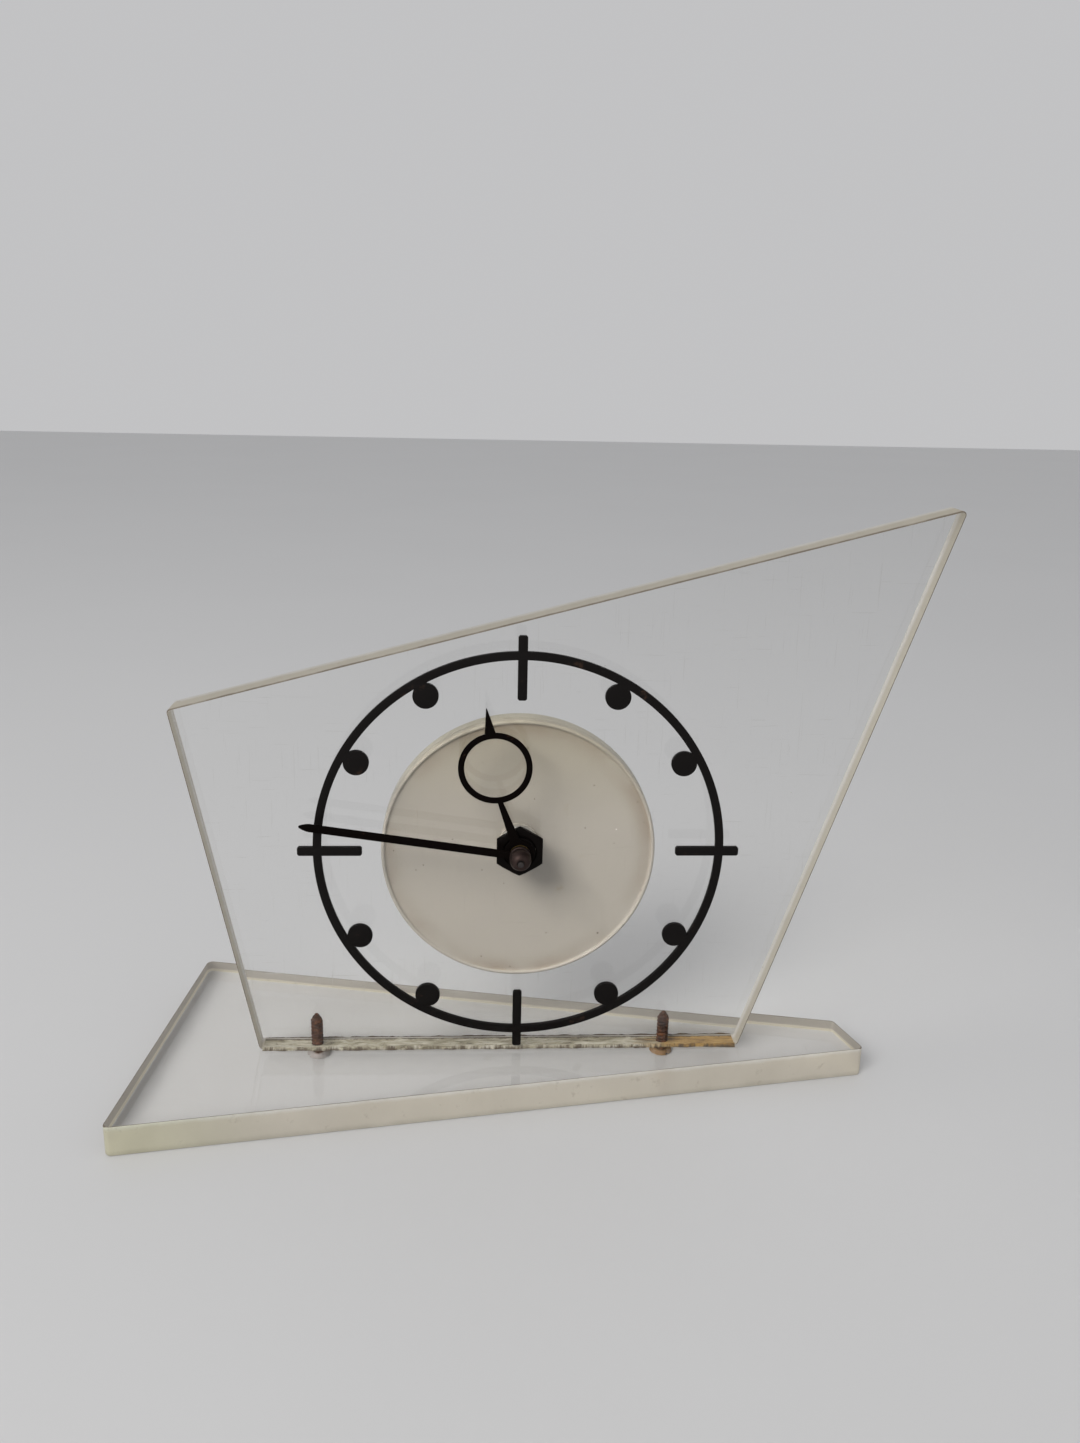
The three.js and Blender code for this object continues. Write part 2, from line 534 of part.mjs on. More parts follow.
add(dial, "pallet_lever", palletLever(), STEEL, PALLET);
add(dial, "pallet_arbor", pivotedShaft(STAFF.escape), STEEL, PALLET);
const balanceOutline = regularOutline(24, 7.8);
balanceOutline.holes = spokeWindows(2, 1.7, 6.6, 1.4);
const balanceWheel = plate(balanceOutline, 27.4, 28.6).subtract(hole(STAFF.balance + GAP, 20, 30));
add(dial, "balance_wheel", balanceWheel, BRASS, BALANCE);
add(dial, "balance_staff", pivotedShaft(STAFF.balance).add(rod(1.9, 25.2, 25.8, 14)), STEEL, BALANCE);
add(dial, "hairspring", spiral(1.3, 4.6, 3.5, 0.16, 31.4, 32, 10), BLUED, BALANCE);
add(dial, "hairspring_stud", block(0.9, 4.2, 0.9, 5.25, 33.8, 0), BRASS, BALANCE);

// ---- what a hand reaches at the back: winding key, hand-setting knob and regulator, with the ratchet inside
const ratchetLevel = [PLATE_BACK + 0.5, PLATE_BACK + 1.6];
const RATCHET_TEETH = 20;
const ratchetTeeth = Array.from({ length: RATCHET_TEETH }, (_, i) => {
  const at = (r, part) => polar(r, ((i + part) * TURN) / RATCHET_TEETH);
  return [at(5.1, 0), at(6, 0.1)];
}).flat();
const ratchet = plate(polygon(ratchetTeeth), ...ratchetLevel).subtract(hole(DRUM.arbor + GAP, 30, 45, 14));
add(dial, "ratchet_wheel", ratchet, STEEL, BARREL);
const clickStud = 0.7;
const clickOutline = polygon([
  [-1.4, -1], [0.6, -1.4], [1.4, 0], [0.4, 1.4], [-2.4, 5.2], [-3.1, 4.8], [-1.6, 1],
]);
const click = plate(clickOutline, ...ratchetLevel).subtract(hole(clickStud + RUNNING, 30, 45));
add(dial, "click", click, STEEL, CLICK);
add(dial, "click_stud", rod(clickStud, PLATE_BACK + GAP, PLATE_BACK + 1.9)
  .add(rod(1.3, PLATE_BACK + 1.75, PLATE_BACK + 2.4)), STEEL, CLICK);

function windingKey() {
  const hub = tube(3.4, 1.5, squareFrom + 0.3, squareFrom + 9, 16)
    .add(rod(3.4, squareFrom + 8.6, squareFrom + 10, 16));
  const [reach, lobe, neck, thickness] = [10, 6.2, 2.2, 1.6];
  const wing = new THREE.Shape();
  wing.moveTo(0, neck);
  wing.bezierCurveTo(6, neck, 6, lobe, reach, lobe);
  wing.absarc(reach, 0, lobe, TURN / 4, -TURN / 4, true);
  wing.bezierCurveTo(6, -lobe, 6, -neck, 0, -neck);
  wing.holes = [new THREE.Path().absarc(reach + 0.4, 0, 2.4, 0, TURN, false)];
  const flat = solid(
    new THREE.ExtrudeGeometry(wing, { depth: thickness, bevelEnabled: false, curveSegments: 5 }),
  );
  const leaf = flat.translate(0, squareFrom + 13.4, -thickness / 2);
  const post = rod(2.6, squareFrom + 9.5, squareFrom + 14, 16);
  return hub.add(leaf).add(leaf.rotate([0, 180, 0])).add(post);
}
add(dial, "winding_key", windingKey(), BRASS, BARREL, 25);

function knurledKnob(radius, y0, y1, ribs) {
  const points = Array.from({ length: ribs * 2 }, (_, i) => (
    polar(i % 2 ? radius : radius - 0.35, (i * TURN) / ribs / 2)
  ));
  return plate(polygon(points), y0, y1).add(rod(radius * 0.62, y0 - 1.2, y1 + 0.5, 20));
}
const knob = knurledKnob(6.2, 44.2, 48.6, 22).subtract(hole(ARBOR.radius + GAP, 40, 52, 14));
add(dial, "setting_knob", knob, BRASS);

// The regulator turns about the balance's axis, and its pin comes out through the slot in the case.
const [armFront, armBack] = [PLATE_BACK + 0.5, PLATE_BACK + 1.2];
const armOutline = polygon([[1.4, -1], [REGULATOR.length, -0.7], [REGULATOR.length, 0.7], [1.4, 1]]);
const regulatorPin = rod(0.8, armFront, CASE.back + 2.6).translate(REGULATOR.length, 0, 0);
const regulator = plate(armOutline, armFront, armBack)
  .add(regulatorPin)
  .rotate([0, -REGULATOR.heading, 0])
  .add(rod(2.4, armFront, armBack, 16))
  .subtract(hole(1.1, PLATE_BACK, CASE.back));
add(dial, "regulator", regulator, STEEL, BALANCE);

export default clock;
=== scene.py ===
"""A mantel clock: a slanting clear acrylic panel on a clear acrylic base. A black cut-out chapter ring and two
black hands are in front of the panel, and an ivory enamelled wind-up movement is behind it.

Every piece is drawn in millimetres in the part's own frame (+X right, +Y back, +Z up) and made in metres."""

import json
import math

import bmesh
import bpy
from mathutils import Matrix, Vector, noise


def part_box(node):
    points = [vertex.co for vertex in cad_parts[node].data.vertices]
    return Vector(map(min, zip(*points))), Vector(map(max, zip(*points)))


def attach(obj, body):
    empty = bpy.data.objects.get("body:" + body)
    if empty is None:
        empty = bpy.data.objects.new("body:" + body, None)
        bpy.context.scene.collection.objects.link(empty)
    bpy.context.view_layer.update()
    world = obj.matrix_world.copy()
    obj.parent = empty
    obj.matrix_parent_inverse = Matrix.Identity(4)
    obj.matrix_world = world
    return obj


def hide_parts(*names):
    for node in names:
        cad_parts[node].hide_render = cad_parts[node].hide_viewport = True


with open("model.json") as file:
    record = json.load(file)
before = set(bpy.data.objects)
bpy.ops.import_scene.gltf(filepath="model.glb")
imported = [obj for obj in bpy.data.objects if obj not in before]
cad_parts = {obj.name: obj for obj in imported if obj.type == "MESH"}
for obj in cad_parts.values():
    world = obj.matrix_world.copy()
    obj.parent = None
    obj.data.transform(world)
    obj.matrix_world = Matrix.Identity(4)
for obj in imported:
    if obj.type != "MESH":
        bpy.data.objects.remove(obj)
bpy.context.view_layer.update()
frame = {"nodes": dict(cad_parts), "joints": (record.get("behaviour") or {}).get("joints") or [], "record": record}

MM = 0.001
TURN = 2 * math.pi
QUARTER = TURN / 4
SCENE = bpy.context.scene


# ---------------------------------------------------------------- places read from the frame, in millimetres
def low(node):
    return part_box(node)[0] / MM


def high(node):
    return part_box(node)[1] / MM


def joint_place(name):
    """Where a hinge's axis meets the panel's front plane, as (x, z)."""
    x, _, z = next(j["pos_m"] for j in frame["joints"] if j["name"] == name)
    return x / MM, z / MM


DIAL = joint_place("hand_setting")
BARREL = joint_place("winding")
BALANCE = joint_place("regulator_set")
BASE_TOP = high("acrylic_base").z
PANEL_BACK = high("acrylic_panel").y
CASE_DROP = (low("case_front").z + high("case_front").z) / 2 - DIAL[1]
HOUSING = (DIAL[0], DIAL[1] + CASE_DROP)
CASE_BACK = high("case_shell").y
SCREWS = {
    side: ((low(node).x + high(node).x) / 2, (low(node).y + high(node).y) / 2, node)
    for side, node in (("left", "base_screw_left"), ("right", "base_screw_right"))
}

# ---------------------------------------------------------------- driving dimensions, in millimetres
BASE_CORNERS = [(-125, -41.4), (118, -2.5), (112.3, 15.5), (-114.6, 61.9)]  # x, y
PANEL_CORNERS = [(-85, -71.4), (74.9, -71.4), (132.1, 109.3), (-107.7, 45.6)]  # x, z from the dial's centre
SHEET = 10  # the thickness of the panel and of the base
SHEET_BEVEL = 0.35
BASE_ROUNDING = 2.0
PANEL_ROUNDING = 1.2
RING = {"radius": 65, "width": 2.6}
BAR = {"inner": 49.7, "outer": 69.9, "width": 2.9}
DOT = {"radius": 4, "at": 58.8}
RING_BEVEL = 0.14
NUT_ACROSS_FLATS = 14.6
BUSH = {"radius": 5, "bore": 3.5}
HOUR_HAND = {"angle": 351.4, "hoop": (-3.66, 29.5), "hoop_radius": 11.5, "strip": 1.9, "tip": 48.95}
MINUTE_HAND = {"length": 69.35, "angle": 278.3, "width": 2.6}
HAND_BEVEL = 0.12
CASE_WALL = 1.1
CASE_RIM = {"width": 1.2, "height": 0.8}
REGULATOR = {"reach": 8, "swing": 18, "heading": 200}  # the slot that the regulator's lever moves in
CASE_SCREWS = {
    node: ((low(node).x + high(node).x) / 2, (low(node).z + high(node).z) / 2)
    for node in ("case_screw_1", "case_screw_2", "case_screw_3")
}
THROUGH_BACK = (CASE_BACK - 3, CASE_BACK + 3)  # where a tool for the case's back starts and ends
KEY_ANGLE = 25


# ---------------------------------------------------------------- outlines: lists of (x, z)
def arc(centre, radius, start, end, steps):
    """Points on an arc, both ends included. Angles are in radians, anticlockwise from +X."""
    return [
        (centre[0] + radius * math.cos(start + (end - start) * i / steps),
         centre[1] + radius * math.sin(start + (end - start) * i / steps))
        for i in range(steps + 1)
    ]


def circle(centre, radius, steps=96):
    return arc(centre, radius, 0, TURN, steps)[:-1]


def rounded(corners, radius, steps=6):
    """A straight-sided outline with an arc in each corner."""
    outline = []
    for i, corner in enumerate(corners):
        here = Vector(corner)
        before = (Vector(corners[i - 1]) - here).normalized()
        after = (Vector(corners[(i + 1) % len(corners)]) - here).normalized()
        half = before.angle(after) / 2
        centre = here + (before + after).normalized() * (radius / math.sin(half))
        reach = radius / math.tan(half)
        start, end = here + before * reach, here + after * reach
        first = math.atan2(start.y - centre.y, start.x - centre.x)
        sweep = (math.atan2(end.y - centre.y, end.x - centre.x) - first + math.pi) % TURN - math.pi
        outline += arc(centre, radius, first, first + sweep, steps)
    return outline


def turned_by(points, angle):
    """Points turned clockwise, as the dial is read, by an angle in radians."""
    c, s = math.cos(angle), math.sin(angle)
    return [(x * c + z * s, z * c - x * s) for x, z in points]


def shifted(points, place):
    return [(x + place[0], z + place[1]) for x, z in points]


# ---------------------------------------------------------------- meshes
def cleaned(mesh, scale=1.0):
    """The mesh with its doubled points merged and its faces turned outwards, so that it is a clean solid."""
    work = bmesh.new()
    work.from_mesh(mesh)
    bmesh.ops.remove_doubles(work, verts=work.verts, dist=1e-4)
    bmesh.ops.dissolve_degenerate(work, edges=work.edges, dist=1e-5)
    bmesh.ops.recalc_face_normals(work, faces=work.faces)
    bmesh.ops.transform(work, matrix=Matrix.Scale(scale, 4), verts=work.verts)
    work.to_mesh(mesh)
    work.free()
    return mesh


def finished(mesh, sharp):
    """A mesh in millimetres as a smooth one in metres, creased where faces meet at more than sharp degrees."""
    cleaned(mesh, MM)
    mesh.shade_smooth()
    mesh.set_sharp_from_angle(angle=math.radians(sharp))
    return mesh


def evaluated_mesh(ob):
    return bpy.data.meshes.new_from_object(ob.evaluated_get(bpy.context.evaluated_depsgraph_get()))


def flat_mesh(name, outlines, y0, y1, bevel, bevel_steps=2):
    """A cut-out in the X-Z plane from y0 back to y1, with rounded edges. The first outline is outermost."""
    curve = bpy.data.curves.new(name, "CURVE")
    curve.dimensions = "2D"
    curve.fill_mode = "BOTH"
    curve.extrude = (y1 - y0) / 2 - bevel
    curve.bevel_depth = bevel
    curve.bevel_resolution = bevel_steps
    curve.offset = -bevel
    for outline in outlines:
        spline = curve.splines.new("POLY")
        spline.points.add(len(outline) - 1)
        for point, (x, z) in zip(spline.points, outline):
            point.co = (x, z, 0, 1)
        spline.use_cyclic_u = True
    ob = bpy.data.objects.new(name, curve)
    SCENE.collection.objects.link(ob)
    mesh = evaluated_mesh(ob)
    bpy.data.objects.remove(ob)
    bpy.data.curves.remove(curve)
    mesh.transform(Matrix.Translation((0, (y0 + y1) / 2, 0)) @ Matrix.Rotation(QUARTER, 4, "X"))
    mesh.name = name
    return mesh


def ring_mesh(name, rings, closed=False):
    """A skin over rings of points. An open one is capped at both ends, and a closed one has its ends joined."""
    count = len(rings[0])
    verts = [point for ring in rings for point in ring]
    faces = []
    for i in range(len(rings) if closed else len(rings) - 1):
        a, b = i * count, (i + 1) % len(rings) * count
        faces += [(a + k, a + (k + 1) % count, b + (k + 1) % count, b + k) for k in range(count)]
    if not closed:
        faces += [tuple(range(count)), tuple(range(len(verts) - count, len(verts)))]
    mesh = bpy.data.meshes.new(name)
    mesh.from_pydata(verts, [], faces)
    return mesh


def lathe_mesh(name, profile, place=(0, 0), steps=96, closed=False, radius_at=None):
    """A profile of (radius, y) turned about an axis along Y. radius_at(radius, angle) may reshape the rings."""
    reshape = radius_at or (lambda radius, angle: radius)
    angles = [TURN * k / steps for k in range(steps)]
    rings = [
        [(place[0] + reshape(r, a) * math.cos(a), y, place[1] + reshape(r, a) * math.sin(a)) for a in angles]
        for r, y in profile
    ]
    return ring_mesh(name, rings, closed)


def eased(profile, radius, steps=3):
    """A profile with its inner corners rounded off by up to radius."""
    points = [Vector(p) for p in profile]
    outline = [tuple(points[0])]
    for before, here, after in zip(points, points[1:], points[2:]):
        reach = min(radius, (before - here).length * 0.45, (after - here).length * 0.45)
        start = here + (before - here).normalized() * reach
        end = here + (after - here).normalized() * reach
        for i in range(steps + 1):
            t = i / steps
            outline.append(tuple(start * (1 - t) ** 2 + here * 2 * t * (1 - t) + end * t ** 2))
    return outline + [tuple(points[-1])]


def merged(name, *meshes):
    """Several meshes as one."""
    work = bmesh.new()
    for mesh in meshes:
        work.from_mesh(mesh)
    made = bpy.data.meshes.new(name)
    work.to_mesh(made)
    work.free()
    return made


def slot_cutter(place, size):
    """A box of a size in millimetres, put in its place by a matrix."""
    work = bmesh.new()
    bmesh.ops.create_cube(work, size=1, matrix=place @ Matrix.Diagonal((*size, 1)))
    mesh = bpy.data.meshes.new("slot")
    work.to_mesh(mesh)
    work.free()
    return mesh


def drill(place, radius, y0, y1):
    """A cylinder that takes out a round hole from y0 back to y1."""
    return lathe_mesh("drill", [(radius, y0), (radius, y1)], place, 48)


def cut(mesh, *cutters):
    """The mesh with the cutters' volumes taken out of it."""
    ob = bpy.data.objects.new(mesh.name, mesh)
    SCENE.collection.objects.link(ob)
    tools = []
    for cutter in cutters:
        tool = bpy.data.objects.new("tool", cutter)
        SCENE.collection.objects.link(tool)
        modifier = ob.modifiers.new("cut", "BOOLEAN")
        modifier.operation = "DIFFERENCE"
        modifier.solver = "EXACT"
        modifier.object = tool
        tools.append(tool)
    bpy.context.view_layer.update()
    made = evaluated_mesh(ob)
    made.name = mesh.name
    for used in (ob, *tools):
        bpy.data.objects.remove(used)
    return made


def piece(name, mesh, body, slot, materials, *nodes, sharp=32):
    """A finished piece of the clock: it rides on a body and stands for CAD nodes."""
    ob = bpy.data.objects.new(name, finished(mesh, sharp))
    SCENE.collection.objects.link(ob)
    for material in materials:
        ob.data.materials.append(material)
    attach(ob, body)
    if nodes:
        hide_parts(*nodes)
    return ob


def paint_faces(ob, choose):
    """Gives each face the material slot number that choose(face) says."""
    for face in ob.data.polygons:
        face.material_index = choose(face)


# ---------------------------------------------------------------- material kit
class Shader:
    """A material under construction, with short names for the nodes that the finishes share."""

    def __init__(self, name):
        self.material = bpy.data.materials.new(name)
        self.material.use_nodes = True
        self.tree = self.material.node_tree
        self.tree.nodes.clear()
        self.output = self.tree.nodes.new("ShaderNodeOutputMaterial")
        self.place = self.node("ShaderNodeTexCoord").outputs["Object"]

    def node(self, kind, inputs=(), **settings):
        made = self.tree.nodes.new(kind)
        for key, value in settings.items():
            setattr(made, key, value)
        for key, value in dict(inputs).items():
            self.give(made.inputs[key], value)
        return made

    def give(self, socket, value):
        """Links a socket to another one, or sets it to a plain value."""
        if isinstance(value, bpy.types.NodeSocket):
            self.tree.links.new(value, socket)
        else:
            socket.default_value = value

    def scaled(self, scale):
        """The object's coordinates, stretched: scale is in features a metre, one number or three."""
        scale = scale if isinstance(scale, tuple) else (scale,) * 3
        return self.node("ShaderNodeMapping", {"Vector": self.place, "Scale": scale}).outputs["Vector"]

    def noise(self, scale, detail=4, roughness=0.55, distortion=0.0):
        """Grey clouds: scale as for scaled(), and the rest as on Blender's noise texture."""
        inputs = {"Vector": self.scaled(scale), "Scale": 1.0, "Detail": detail, "Roughness": roughness,
                  "Distortion": distortion}
        return self.node("ShaderNodeTexNoise", inputs).outputs["Fac"]

    def specks(self, scale, share, size):
        """1 inside small scattered specks: share of the cells have one, and size is its radius in cells."""
        cells = self.node("ShaderNodeTexVoronoi", {"Vector": self.scaled(scale), "Scale": 1.0}, feature="F1")
        chosen = self.node("ShaderNodeSeparateColor", {"Color": cells.outputs["Color"]}).outputs["Red"]
        near = self.math("LESS_THAN", cells.outputs["Distance"], size)
        return self.times(near, self.math("LESS_THAN", chosen, share))

    def math(self, operation, a, b=0.0):
        return self.node("ShaderNodeMath", {0: a, 1: b}, operation=operation).outputs[0]

    def times(self, a, b):
        return self.math("MULTIPLY", a, b)

    def plus(self, a, b):
        return self.math("ADD", a, b)

    def highest(self, first, *others):
        for other in others:
            first = self.math("MAXIMUM", first, other)
        return first

    def line(self, value, slope, start):
        """start where value is 0, and slope more where it is 1."""
        return self.node("ShaderNodeMath", {0: value, 1: slope, 2: start}, operation="MULTIPLY_ADD").outputs[0]

    def axis(self, letter):
        return self.node("ShaderNodeSeparateXYZ", {0: self.place}).outputs[letter]

    def steps(self, value, *stops):
        """A value's colour or grey level: stops are (position, colour or grey)."""
        ramp = self.node("ShaderNodeValToRGB", {"Fac": value})
        ramp.color_ramp.elements.remove(ramp.color_ramp.elements[1])
        for i, (position, colour) in enumerate(stops):
            element = ramp.color_ramp.elements[0] if i == 0 else ramp.color_ramp.elements.new(position)
            element.position = position
            element.color = (colour,) * 3 + (1,) if isinstance(colour, (int, float)) else (*colour, 1)
        return ramp.outputs["Color"]

    def between(self, value, low_end, high_end):
        """0 below low_end, 1 above high_end and smooth in between."""
        inputs = {"Value": value, "From Min": low_end, "From Max": high_end}
        return self.node("ShaderNodeMapRange", inputs, interpolation_type="SMOOTHSTEP").outputs["Result"]

    def mix(self, share, a, b, blend="MIX"):
        """Colour a, turned into b, or into their product with the blend MULTIPLY, where share is 1."""
        made = self.node("ShaderNodeMix", data_type="RGBA", blend_type=blend)
        for socket, value in ((made.inputs[0], share), (made.inputs[6], a), (made.inputs[7], b)):
            if isinstance(value, tuple) and len(value) == 3:
                value = (*value, 1)
            self.give(socket, value)
        return made.outputs[2]

    def bump(self, height, depth_mm, strength=1.0, under=None):
        inputs = {"Height": height, "Distance": depth_mm * MM, "Strength": strength}
        if under is not None:
            inputs["Normal"] = under
        return self.node("ShaderNodeBump", inputs).outputs["Normal"]

    def principled(self, **inputs):
        named = {key.replace("_", " "): value for key, value in inputs.items()}
        for key in ("Base Color", "Specular Tint", "Coat Tint"):
            if isinstance(named.get(key), tuple) and len(named[key]) == 3:
                named[key] = (*named[key], 1)
        return self.node("ShaderNodeBsdfPrincipled", named).outputs["BSDF"]

    def done(self, surface):
        """The finished material."""
        self.give(self.output.inputs["Surface"], surface)
        return self.material


def lets_lamps_through(shader, surface, tint):
    """The surface as the camera sees it, but clear to shadow rays, so that what lies behind is lit."""
    shadow_ray = shader.node("ShaderNodeLightPath").outputs["Is Shadow Ray"]
    clear = shader.node("ShaderNodeBsdfTransparent", {"Color": (*tint, 1)}).outputs["BSDF"]
    return shader.node("ShaderNodeMixShader", {0: shadow_ray, 1: surface, 2: clear}).outputs["Shader"]


# ---------------------------------------------------------------- finishes
# Colours are linear (red, green, blue). Distances in a finish are in metres, as the object's coordinates are.
ACRYLIC_IOR = 1.49
CREAM = (0.64, 0.60, 0.51)
# painted highlight: the bright cream line along the bottom of the base's sawn edges
HIGHLIGHT_CREAM = (0.85, 0.80, 0.66)
RUBBED = (0.78, 0.73, 0.63)
PALE = (0.76, 0.74, 0.70)
# painted highlight: the light line along the top of the base's front face
TOP_EDGE_HIGHLIGHT = (0.9, 0.88, 0.82)
DULL = (0.54, 0.50, 0.44)
SHADED = (0.27, 0.23, 0.18)
DUST = (0.78, 0.77, 0.74)
GRIME = (0.30, 0.25, 0.18)
UNTINTED = (1.0, 1.0, 1.0)


def clear_acrylic(name, tint, shadow):
    """Polished sheet with hairline scratches and a little dust."""
    shader = Shader(name)
    scratches = [
        shader.between(shader.noise(scale, detail=1, roughness=0.4), 0.735, 0.75)
        for scale in ((2600, 60, 50), (70, 55, 2300), (1500, 1400, 40))
    ]
    dust = shader.specks(160, share=0.06, size=0.035)
    marks = shader.highest(shader.times(shader.highest(*scratches), 0.5), dust)
    surface = shader.principled(
        Base_Color=shader.mix(marks, tint, DUST), Roughness=shader.line(marks, 0.4, 0.0),
        Transmission_Weight=1.0, IOR=ACRYLIC_IOR,
    )
    return shader.done(lets_lamps_through(shader, surface, shadow))


def sawn_acrylic(name, along, across, bands, clear=0.0, shades=False, left_tint=UNTINTED, glow=0.4):
    """A sheet's sawn edge, rubbed dull: saw marks across its length, and bands of colour from face to face, some
    of them painted highlight and painted shade.

    along is the saw marks' scale, across is the axis through the sheet, and bands are (depth in mm, colour).
    clear is how much can be seen through it, and glow is the share of light that comes through it. An edge that
    shades stops the lamps' light. left_tint is multiplied in at the clock's left end."""
    tint_from, tint_full = -0.070, -0.118
    wander = 0.0016
    shader = Shader(name)
    marks = shader.noise(along, detail=3, roughness=0.7)
    patches = shader.noise(60, detail=4, roughness=0.6)
    waver = shader.times(shader.math("SUBTRACT", shader.noise(120, detail=3), 0.5), wander)
    depth = shader.times(shader.plus(shader.axis(across), waver), 1 / (SHEET * MM))
    banded = shader.steps(depth, *((place / SHEET, colour) for place, colour in bands))
    toned = shader.mix(1.0, banded, shader.mix(patches, (0.80, 0.79, 0.77), (1.0, 1.0, 1.0)), "MULTIPLY")
    leftwards = shader.between(shader.axis("X"), tint_from, tint_full)
    tinted = shader.mix(leftwards, toned, left_tint, "MULTIPLY")
    grime = shader.between(shader.noise(240, detail=5, roughness=0.65), 0.58, 0.76)
    colour = shader.mix(shader.times(grime, 0.4), tinted, GRIME)
    surface = shader.principled(
        Base_Color=colour, Roughness=shader.line(marks, 0.3, 0.4), Transmission_Weight=clear, IOR=ACRYLIC_IOR,
        Specular_IOR_Level=0.35, Normal=shader.bump(marks, 0.06, 0.6),
    )
    if glow:
        through = shader.node("ShaderNodeBsdfTranslucent", {"Color": colour}).outputs["BSDF"]
        surface = shader.node("ShaderNodeMixShader", {0: glow, 1: surface, 2: through}).outputs["Shader"]
    return shader.done(surface if shades else lets_lamps_through(shader, surface, (0.6, 0.59, 0.57)))


def aged_glue():
    """Cement under the panel: cream, brown at its edges and in its cracks, and amber at its right end."""
    amber_from, amber_full = 0.052, 0.068
    front_edge, front_middle = 0.0018, 0.0030
    back_middle, back_edge = 0.0110, 0.0122
    shader = Shader("aged_glue")
    blotches = shader.noise((90, 260, 200), detail=6, roughness=0.7, distortion=0.6)
    cream = shader.steps(blotches, (0.36, (0.12, 0.10, 0.06)), (0.46, (0.34, 0.31, 0.22)),
                         (0.56, (0.50, 0.47, 0.38)), (0.7, (0.66, 0.64, 0.56)))
    amber = shader.steps(blotches, (0.36, (0.12, 0.06, 0.015)), (0.5, (0.36, 0.22, 0.07)),
                         (0.7, (0.52, 0.36, 0.15)))
    side = shader.plus(shader.axis("X"), shader.times(shader.noise((160, 400, 1), detail=4), 0.03))
    colour = shader.mix(shader.between(side, amber_from, amber_full), cream, amber)
    ragged = shader.times(shader.noise((300, 90, 1), detail=5, roughness=0.75), 0.0055)
    depth = shader.plus(shader.axis("Y"), ragged)
    border = shader.highest(shader.between(depth, front_middle, front_edge),
                            shader.between(depth, back_middle, back_edge))
    colour = shader.mix(border, colour, (0.085, 0.062, 0.038))
    cracks = shader.between(shader.noise((300, 700, 300), detail=6, roughness=0.8, distortion=1.0), 0.57, 0.63)
    colour = shader.mix(shader.times(cracks, 0.75), colour, (0.07, 0.045, 0.022))
    surface = shader.principled(Base_Color=colour, Roughness=0.55, Normal=shader.bump(blotches, 0.15, 0.5))
    return shader.done(surface)


def rusted(name, head_colour, head_top=0.0026):
    """A rusted wood screw whose head, below head_top, has kept some of its plating."""
    fade = 0.0012
    shader = Shader(name)
    patches = shader.noise(500, detail=6, roughness=0.7)
    rust = shader.steps(patches, (0.36, (0.028, 0.012, 0.007)), (0.52, (0.075, 0.03, 0.015)),
                        (0.7, (0.26, 0.10, 0.04)))
    height = shader.plus(shader.axis("Z"), shader.times(shader.noise(600, detail=3), fade))
    plated = shader.between(height, head_top + fade, head_top)
    head = shader.mix(patches, tuple(0.6 * c for c in head_colour), head_colour)
    surface = shader.principled(
        Base_Color=shader.mix(plated, rust, head), Metallic=0.35,
        Roughness=shader.line(patches, 0.4, 0.5), Normal=shader.bump(patches, 0.12, 0.7),
    )
    return shader.done(surface)


def satin_black(name, worn, roughness=0.42, sheen=0.14):
    """Black paint, worn through to brown where worn, 0 to 1, is higher."""
    shader = Shader(name)
    patches = shader.noise(130, detail=5, roughness=0.65)
    fine = shader.noise(1400, detail=3, roughness=0.6)
    wear = shader.between(shader.plus(patches, shader.times(fine, 0.2)), 0.78 - 0.25 * worn, 0.86)
    surface = shader.principled(
        Base_Color=shader.mix(wear, (0.0035, 0.0024, 0.0021), (0.040, 0.021, 0.013)),
        Roughness=shader.line(fine, 0.2, roughness), Specular_IOR_Level=sheen,
        Normal=shader.bump(fine, 0.02, 0.4),
    )
    return shader.done(surface)


